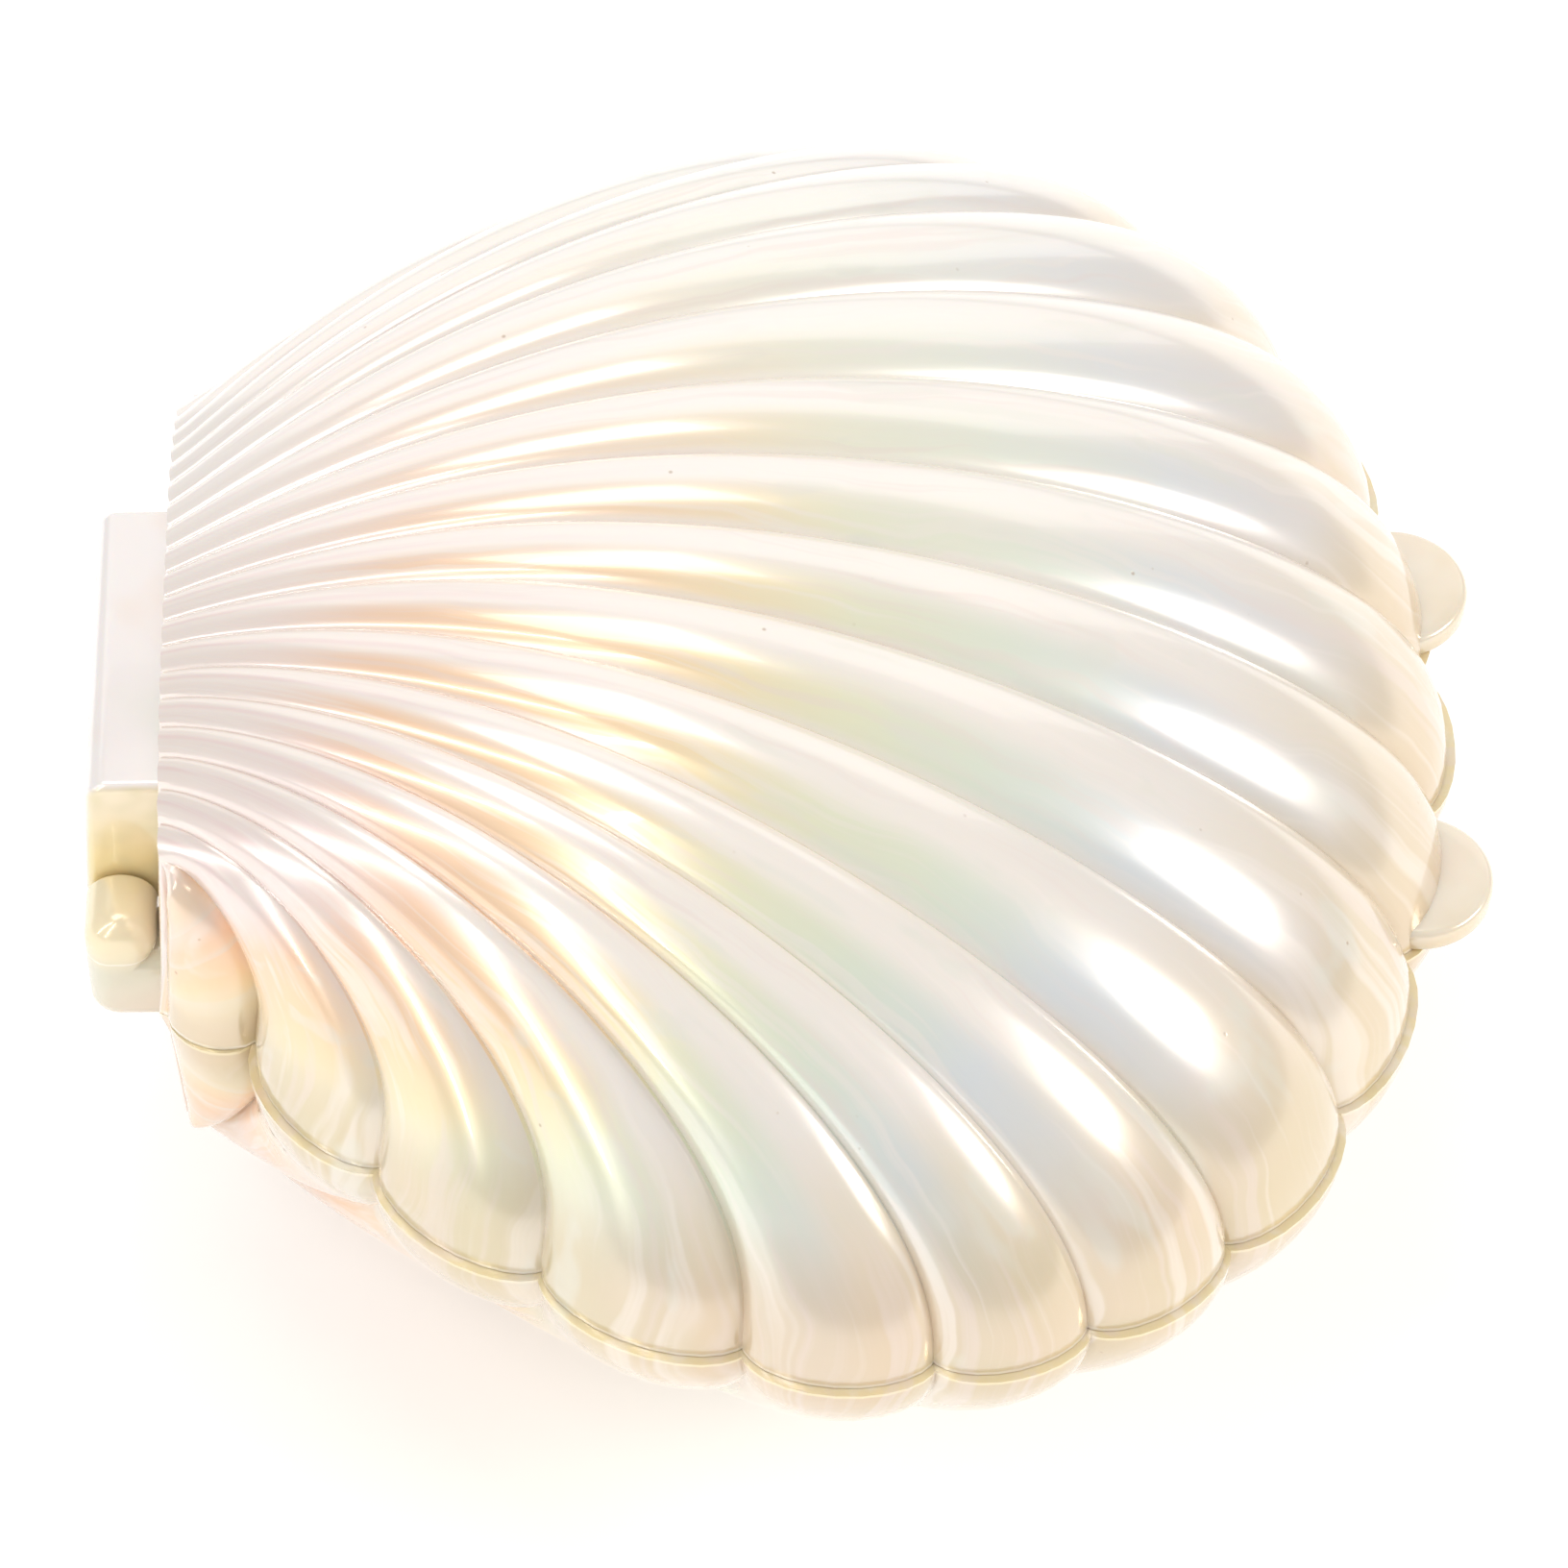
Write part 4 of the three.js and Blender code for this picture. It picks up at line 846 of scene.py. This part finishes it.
def prism(form, outline, start, end, round_start, round_end, bore):
    """Extrudes an outline of rear and height along x, with rounded ends. bore lists the x and radius of each
    ring of the hole; a hole that stops short of an end leaves that end closed. Returns the ends to fill."""
    steps = 7
    sections = []
    for k in range(steps + 1):
        turn = math.pi / 2 * k / steps
        sections.append((start + round_start * (1 - math.cos(turn)), round_start * (1 - math.sin(turn))))
    for k in range(steps + 1):
        turn = math.pi / 2 * (1 - k / steps)
        sections.append((end - round_end * (1 - math.cos(turn)), round_end * (1 - math.sin(turn))))
    rings = []
    for x, distance in sections:
        rings.append(form.add_points([place(x, -rear, height) for rear, height in inset(outline, distance)]))
    form.skin(rings, closed=True, backward=True)
    turn = circle(32)
    hole = [form.add_points([place(x, AXIS_DEPTH - radius * math.cos(t), AXIS_HEIGHT + radius * math.sin(t))
                             for t in turn]) for x, radius in bore]
    form.skin(hole, closed=True)
    ends = []
    for x, k in ((start, 0), (end, -1)):
        loops = (rings[k], hole[k])
        ends += [loops] if x == bore[k][0] else [(loop,) for loop in loops]
    return ends


def plate(form, outline, holes, bottom, top, edge):
    """A flat plate with a softened edge and round holes; holes lists x, depth and radius."""
    shelf = ((bottom, edge), (bottom + edge, 0.0), (top - edge, 0.0), (top, edge))
    rings = [form.add_points([place(x, depth, height) for x, depth in inset(outline, distance)])
             for height, distance in shelf]
    form.skin(rings, closed=True)
    low, high = [rings[0]], [rings[-1]]
    for x, depth, radius in holes:
        turn = circle(32 if radius > 3 else 16)
        circles = [ring(form, turn, grown, x, depth, height)
                   for height, grown in ((bottom, radius), (top - edge, radius), (top, radius + edge))]
        form.skin(circles, closed=True, backward=True)
        low.append(circles[0])
        high.append(circles[-1])
    return [tuple(low), tuple(high)]


def tube(form, path, radii, sides):
    """A round tube along a path of depth and height; radii holds its outer and inner radius."""
    path = [Vector(p) for p in path]
    skins = []
    for radius in radii:
        skin = []
        for k, point in enumerate(path):
            ahead = path[min(k + 1, len(path) - 1)] - path[max(k - 1, 0)]
            ahead.normalize()
            upward = Vector((-ahead.y, ahead.x))
            skin.append(form.add_points([
                place(radius * math.cos(t), *(point + upward * (radius * math.sin(t))))
                for t in circle(sides)]))
        form.skin(skin, closed=True)
        skins.append(skin)
    for end in (0, -1):
        form.strip(skins[0][end], skins[1][end], closed=True)


def drop(tree, x, depth, height, upward):
    """Height at which a plumb line from a point meets a surface."""
    hit = tree.ray_cast(place(x, depth, height), Vector((0, 0, 1 if upward else -1)))[0]
    if hit is None:
        raise RuntimeError(f"no wall above or below {x:.1f}, {depth:.1f}")
    return (hit.z - HINGE.z) / MM + AXIS_HEIGHT


def boss(form, tree, radius, face, x, depth, upward, sink, edge):
    """A round boss whose flat face is at one height and whose root is sunk into the wall it grows from."""
    away = 1 if upward else -1
    turn = circle(40)
    rings = [form.add_points([place(x, depth, face)])]
    for radius_here, height in ((radius - edge, face), (radius - 0.3 * edge, face + away * 0.3 * edge),
                                (radius, face + away * edge)):
        rings.append(ring(form, turn, radius_here, x, depth, height))
    foot = []
    for t in turn:
        px, pd = x + radius * math.cos(t), depth + radius * math.sin(t)
        foot.append(place(px, pd, drop(tree, px, pd, face, upward) + away * sink))
    rings.append(form.add_points(foot))
    middle = sum((Vector(p) for p in foot), Vector()) / len(foot)
    rings.append(form.add_points([middle]))
    form.skin(rings[1:-1], closed=True)
    for tip, line in ((rings[0], rings[1]), (rings[-1], rings[-2])):
        form.faces += [(tip[0], a, b) for a, b in zip(line, np.roll(line, -1))]


# ---- operators ----
def settings(context):
    """The sizes and the colours set in the sidebar."""
    return context.scene.clam_sizes, context.scene.clam_colours


class BUILD_OT_valves(bpy.types.Operator):
    """Build the fluted lid and the fluted lower valve"""

    bl_idname = "clam.valves"
    bl_label = "Fluted valves"

    def execute(self, context):
        sizes, colours = settings(context)
        upper = pearl_plastic("pearl_lid", colours, 0.0, tone(255, 247, 234))
        valve(sizes, "lid_shell", upper, "lid", False, sizes.ledge / MM)
        lower = pearl_plastic("pearl_base", colours, 0.35, tone(244, 228, 184))
        valve(sizes, "base_shell", lower, "base", True, 0.0)
        return {"FINISHED"}


class BUILD_OT_hinge(bpy.types.Operator):
    """Build the lid's hinge bar and the two knuckles of the lower valve"""

    bl_idname = "clam.hinge"
    bl_label = "Hinge bar and knuckles"

    def execute(self, context):
        sizes = settings(context)[0]
        bar = plain_pearl("pearl_bar", (242, 226, 202), (248, 242, 240), 4, 12, ends=12.8)
        low = plain_pearl("pearl_knuckle", (226, 217, 194), (250, 233, 196), -1.5, 1.0)
        gap = sizes.seam / MM / 2
        form = Form()
        bore = ((-BAR_HALF, PIN_BORE), (BAR_HALF, PIN_BORE))
        ends = prism(form, bar_outline(gap), -BAR_HALF, BAR_HALF, 0.7, 0.7, bore)
        close(form.piece("lid_hinge_bar", bar, "lid"), ends)
        blind = ((-BLIND_END, PIN_BORE), (-KNUCKLE_START, PIN_BORE))
        stepped = ((KNUCKLE_START, PIN_BORE), (PLUG_SEAT, PIN_BORE), (PLUG_SEAT, PLUG_BORE),
                   (KNUCKLE_REACH, PLUG_BORE))
        for name, span, bore in (("base_knuckle_near", (-KNUCKLE_REACH, -KNUCKLE_START, 1.9, 0.4), blind),
                                 ("base_knuckle_far", (KNUCKLE_START, KNUCKLE_REACH, 0.4, 0.5), stepped)):
            form = Form()
            ends = prism(form, knuckle_outline(gap), *span, bore)
            close(form.piece(name, low, "base"), ends)
        return {"FINISHED"}


class BUILD_OT_tabs(bpy.types.Operator):
    """Build the two thumb tabs on the lid's front edge"""

    bl_idname = "clam.tabs"
    bl_label = "Thumb tabs"

    def execute(self, context):
        sizes = settings(context)[0]
        material = plain_pearl("pearl_tab", (232, 214, 182), (245, 236, 220), 0.4, 2.2)
        radius = sizes.tab_radius / MM
        bottom = sizes.seam / MM / 2
        turn = np.radians(np.linspace(0, 360, 96, endpoint=False))
        quarter, top = math.pi / 2, bottom + TAB_THICK
        profile = [(-1.0, bottom),
                   *[(-TAB_LOW_EDGE * (1 - math.sin(a)), bottom + TAB_LOW_EDGE * (1 - math.cos(a)))
                     for a in np.linspace(0, quarter, 4)],
                   *[(-TAB_TOP_EDGE * (1 - math.cos(a)), top - TAB_TOP_EDGE * (1 - math.sin(a)))
                     for a in np.linspace(0, quarter, 6)], (-1.3, top)]
        for side, label in ((-1, "near"), (1, "far")):
            form = Form()
            rings = []
            for offset, height in profile:
                x = side * TAB_HALF_SPACING + (radius + offset) * np.cos(turn)
                depth = TAB_DEPTH + (radius + offset) * np.sin(turn)
                angle = np.degrees(np.arctan2(x, depth - RIM_CENTRE))
                reach = np.hypot(x, depth - RIM_CENTRE)
                wall = rim_point(angle, RIM_RADIUS - 1.0)
                least = np.hypot(wall[:, 0], wall[:, 1] - RIM_CENTRE)
                grow = np.maximum(reach, least) / reach
                points = np.stack([x * grow, RIM_CENTRE + (depth - RIM_CENTRE) * grow,
                                   np.full(len(turn), height)], axis=-1)
                rings.append(form.add_points(place_all(points)))
            form.skin(rings, closed=True)
            form.faces.append(tuple(rings[0]))
            form.faces.append(tuple(rings[-1]))
            form.piece(f"lid_tab_{label}", material, "lid")
        return {"FINISHED"}


class BUILD_OT_bosses(bpy.types.Operator):
    """Build the feet, screw posts and bosses that are moulded with the valves"""

    bl_idname = "clam.bosses"
    bl_label = "Feet and bosses"

    def execute(self, context):
        material = plain_pearl("pearl_boss", (226, 206, 172), (240, 228, 208), -32, -24)
        trees = {}
        for name in ("lid_shell", "base_shell"):
            shell = bpy.data.objects[name].data
            trees[name] = BVHTree.FromPolygons([v.co for v in shell.vertices],
                                               [tuple(p.vertices) for p in shell.polygons])
        for name, rows in BOSSES.items():
            body = name.split("_")[0]
            form = Form()
            for radius, face, places, upward, sink, edge in rows:
                for x, depth in places:
                    boss(form, trees[f"{body}_shell"], radius, face, x, depth, upward, sink, edge)
            form.piece(name, material, body)
        return {"FINISHED"}


class BUILD_OT_works(bpy.types.Operator):
    """Build the air works: bell, stone, holder, duct, ballast and pads"""

    bl_idname = "clam.works"
    bl_label = "Air works"

    def execute(self, context):
        colours = settings(context)[1]
        tinted = clear_plastic("tinted_clear", colours, 0.12)
        soft = clear_plastic("clear_tube", colours, 0.3)
        metal = steel()
        dark = rubber(colours)
        turned_piece("bell", tinted, "lid", rounded(BELL, 6), 72, slot="clear_blue", instead=("air_bell",))
        turned_piece("bubbling_stone", air_stone_grit(), "base", rounded(STONE), 56,
                     slot="stone", instead=("air_stone",))
        form = Form()
        turned(form, rounded(HOLDER, 4), 0, WORKS_DEPTH, 64)
        tube(form, NOZZLE_PATH, NOZZLE_RADII, 20)
        form.piece("holder", tinted, "base", slot="clear_blue", instead=("stone_holder",))
        turned_piece("ballast", metal, "base", rounded(BALLAST), 96,
                     slot="steel", instead=("ballast_weight",))
        form = Form()
        for x, depth in FEET:
            turned(form, rounded(PAD), x, depth, 40)
        form.piece("pads", dark, "base", slot="rubber", instead=[f"foot_pad_{k}" for k in range(1, 5)])
        form = Form()
        tube(form, self.duct_path(), DUCT_RADII, 32)
        form.piece("duct", soft, "base", slot="clear_tube", instead=("air_duct",))
        screws = [f"{kind}_screw_{k + 1}" for kind, count in (("ballast", 3), ("holder", 2), ("deck", 4))
                  for k in range(count)]
        kept = {metal: ("hinge_pin", "bell_screw", *screws), tinted: ("inlet_elbow", "inlet_nut"),
                dark: ("inlet_seal",)}
        for material, names in kept.items():
            for name in names:
                bpy.data.objects[name].data.materials[0] = material
        plug = plain_pearl("pearl_plug", (226, 206, 172), (244, 226, 196), -1, 3)
        bpy.data.objects["hinge_pin_plug"].data.materials[0] = plug
        return {"FINISHED"}

    def duct_path(self):
        """Rises from the inlet, arches forward and comes down level onto the holder's nozzle."""
        top, level, reach = -12.8, -13.5, 30.1
        bend = [Vector(p) for p in ((13, top), (13, top + 9), (reach - 3 - 9, level), (reach - 3, level))]
        curve = [tuple(bezier(k / 30, *bend)) for k in range(31)]
        return [(13, top - 2.7), (13, top - 1.2), *curve, (reach - 1.5, level), (reach, level)]


class BUILD_OT_deck(bpy.types.Operator):
    """Build the deck, the cup and the pearl"""

    bl_idname = "clam.deck"
    bl_label = "Deck, cup and pearl"

    def execute(self, context):
        satin = deck_plastic()
        degrees = np.linspace(DECK_FAN, -DECK_FAN, 97)
        outline = [tuple(p) for p in rim_point(degrees, RIM_RADIUS - DECK_INSET)]
        holes = [(0, WORKS_DEPTH, STONE_RADIUS + STONE_ROOM),
                 *[(x, depth, DECK_SCREW_BORE) for x, depth in DECK_SCREWS]]
        form = Form()
        ends = plate(form, outline[::-1], holes, DECK_BOTTOM, DECK_TOP, 0.3)
        close(form.piece("deck", satin, "base", slot="deck", instead=("deck_plate",)), ends)
        depth, centre = PEARL_PLACE
        ball = [(PEARL_RADIUS * math.sin(a), centre - PEARL_RADIUS * math.cos(a))
                for a in np.linspace(0, math.pi, 37)]
        turned_piece("pearl_ball", nacre(), "base", ball, 72, depth, slot="pearl", instead=("pearl",))
        seat = [(SEAT_RADIUS * math.sin(a), centre - SEAT_RADIUS * math.cos(a))
                for a in np.linspace(CUP_LIP, 0, 12)]
        outside = rounded([*CUP_FOOT, (CUP_FOOT[-1][0], seat[0][1], 0.25)])
        turned_piece("cup", satin, "base", [*outside, *seat], 56, depth, slot="deck", instead=("pearl_cup",))
        return {"FINISHED"}


class BUILD_OT_stage(bpy.types.Operator):
    """Set up the pale floor, the soft lights and the camera"""

    bl_idname = "clam.stage"
    bl_label = "Stage"

    def execute(self, context):
        scene = context.scene
        floor = bpy.data.meshes.new("floor")
        corners = [(x * FLOOR_HALF, y * FLOOR_HALF, 0) for x, y in ((-1, -1), (1, -1), (1, 1), (-1, 1))]
        floor.from_pydata(corners, [], [(0, 1, 2, 3)])
        paint = Paint("pale_floor")
        tint = paint.blend(paint.noise(3.0, 2.0) * 0.2, (0.94, 0.94, 0.94), (0.92, 0.92, 0.915))
        paint.set(Base_Color=tint, Roughness=0.5, Specular_IOR_Level=0.2, Emission_Color=(1.0, 0.995, 0.985),
                  Emission_Strength=0.24)
        floor.materials.append(paint.material)
        ground = bpy.data.objects.new("floor", floor)
        scene.collection.objects.link(ground)
        world = bpy.data.worlds.new("studio_air")
        world.use_nodes = True
        air = world.node_tree.nodes["Background"].inputs
        air["Color"].default_value = AIR_COLOUR
        air["Strength"].default_value = AIR_STRENGTH
        scene.world = world
        centre = Vector((0, 0, 0.03))
        for name, azimuth, elevation, width, height, distance, power, colour in LAMPS:
            a, e = math.radians(azimuth), math.radians(elevation)
            back = Vector((math.sin(a) * math.cos(e), -math.cos(a) * math.cos(e), math.sin(e)))
            lamp = bpy.data.lights.new(name, "AREA")
            lamp.shape = "RECTANGLE"
            lamp.size = width
            lamp.size_y = height
            lamp.energy = power
            lamp.color = colour
            holder = bpy.data.objects.new(name, lamp)
            holder.location = centre + back * distance
            holder.rotation_euler = back.to_track_quat("Z", "Y").to_euler()
            scene.collection.objects.link(holder)
        self.camera(scene)
        scene.view_settings.view_transform = "Standard"
        scene.view_settings.look = "None"
        return {"FINISHED"}

    def camera(self, scene):
        """Long lens, a little over 50 degrees above the floor, looking across from the shell's side."""
        rise, swing = math.radians(CAMERA_RISE), math.radians(CAMERA_SWING)
        level = math.cos(rise)
        forward = Vector((level * math.cos(swing), -level * math.sin(swing), -math.sin(rise)))
        right = forward.cross(Vector((0, 0, 1))).normalized()
        up = right.cross(forward)
        aim = place(*CAMERA_AIM, 0)
        ray = forward + right * (SHIFT_RIGHT / FOCAL_LENGTH) + up * (SHIFT_UP / FOCAL_LENGTH)
        lens = bpy.data.cameras.new("camera")
        lens.sensor_width = SENSOR
        lens.lens = SENSOR * (FOCAL_LENGTH / FRAME_WIDTH)
        lens.clip_start = 0.05
        camera = bpy.data.objects.new("camera", lens)
        turn = Matrix((right, up, -forward)).transposed()
        camera.matrix_world = Matrix.Translation(aim - ray * CAMERA_AWAY) @ turn.to_4x4()
        scene.collection.objects.link(camera)
        scene.camera = camera


class CLAM_PT_builder(bpy.types.Panel):
    """Lists the builders in the sidebar"""

    bl_label = "Clam Shell"
    bl_idname = "CLAM_PT_builder"
    bl_space_type = "VIEW_3D"
    bl_region_type = "UI"
    bl_category = "Clam Shell"

    def draw(self, context):
        for group in (context.scene.clam_sizes, context.scene.clam_colours):
            for name in group.__annotations__:
                self.layout.prop(group, name)
        for operator in OPERATORS:
            self.layout.operator(operator.bl_idname)


OPERATORS = (BUILD_OT_valves, BUILD_OT_hinge, BUILD_OT_tabs, BUILD_OT_bosses, BUILD_OT_works, BUILD_OT_deck,
             BUILD_OT_stage)
CLASSES = (ShellSizes, ShellColours, *OPERATORS, CLAM_PT_builder)


def register():
    for cls in CLASSES:
        bpy.utils.register_class(cls)
    bpy.types.Scene.clam_sizes = PointerProperty(type=ShellSizes)
    bpy.types.Scene.clam_colours = PointerProperty(type=ShellColours)


def unregister():
    del bpy.types.Scene.clam_colours
    del bpy.types.Scene.clam_sizes
    for cls in reversed(CLASSES):
        bpy.utils.unregister_class(cls)


def main():
    register()
    for build in (bpy.ops.clam.valves, bpy.ops.clam.hinge, bpy.ops.clam.tabs, bpy.ops.clam.bosses,
                  bpy.ops.clam.works, bpy.ops.clam.deck, bpy.ops.clam.stage):
        build()


if __name__ == "__main__":
    main()
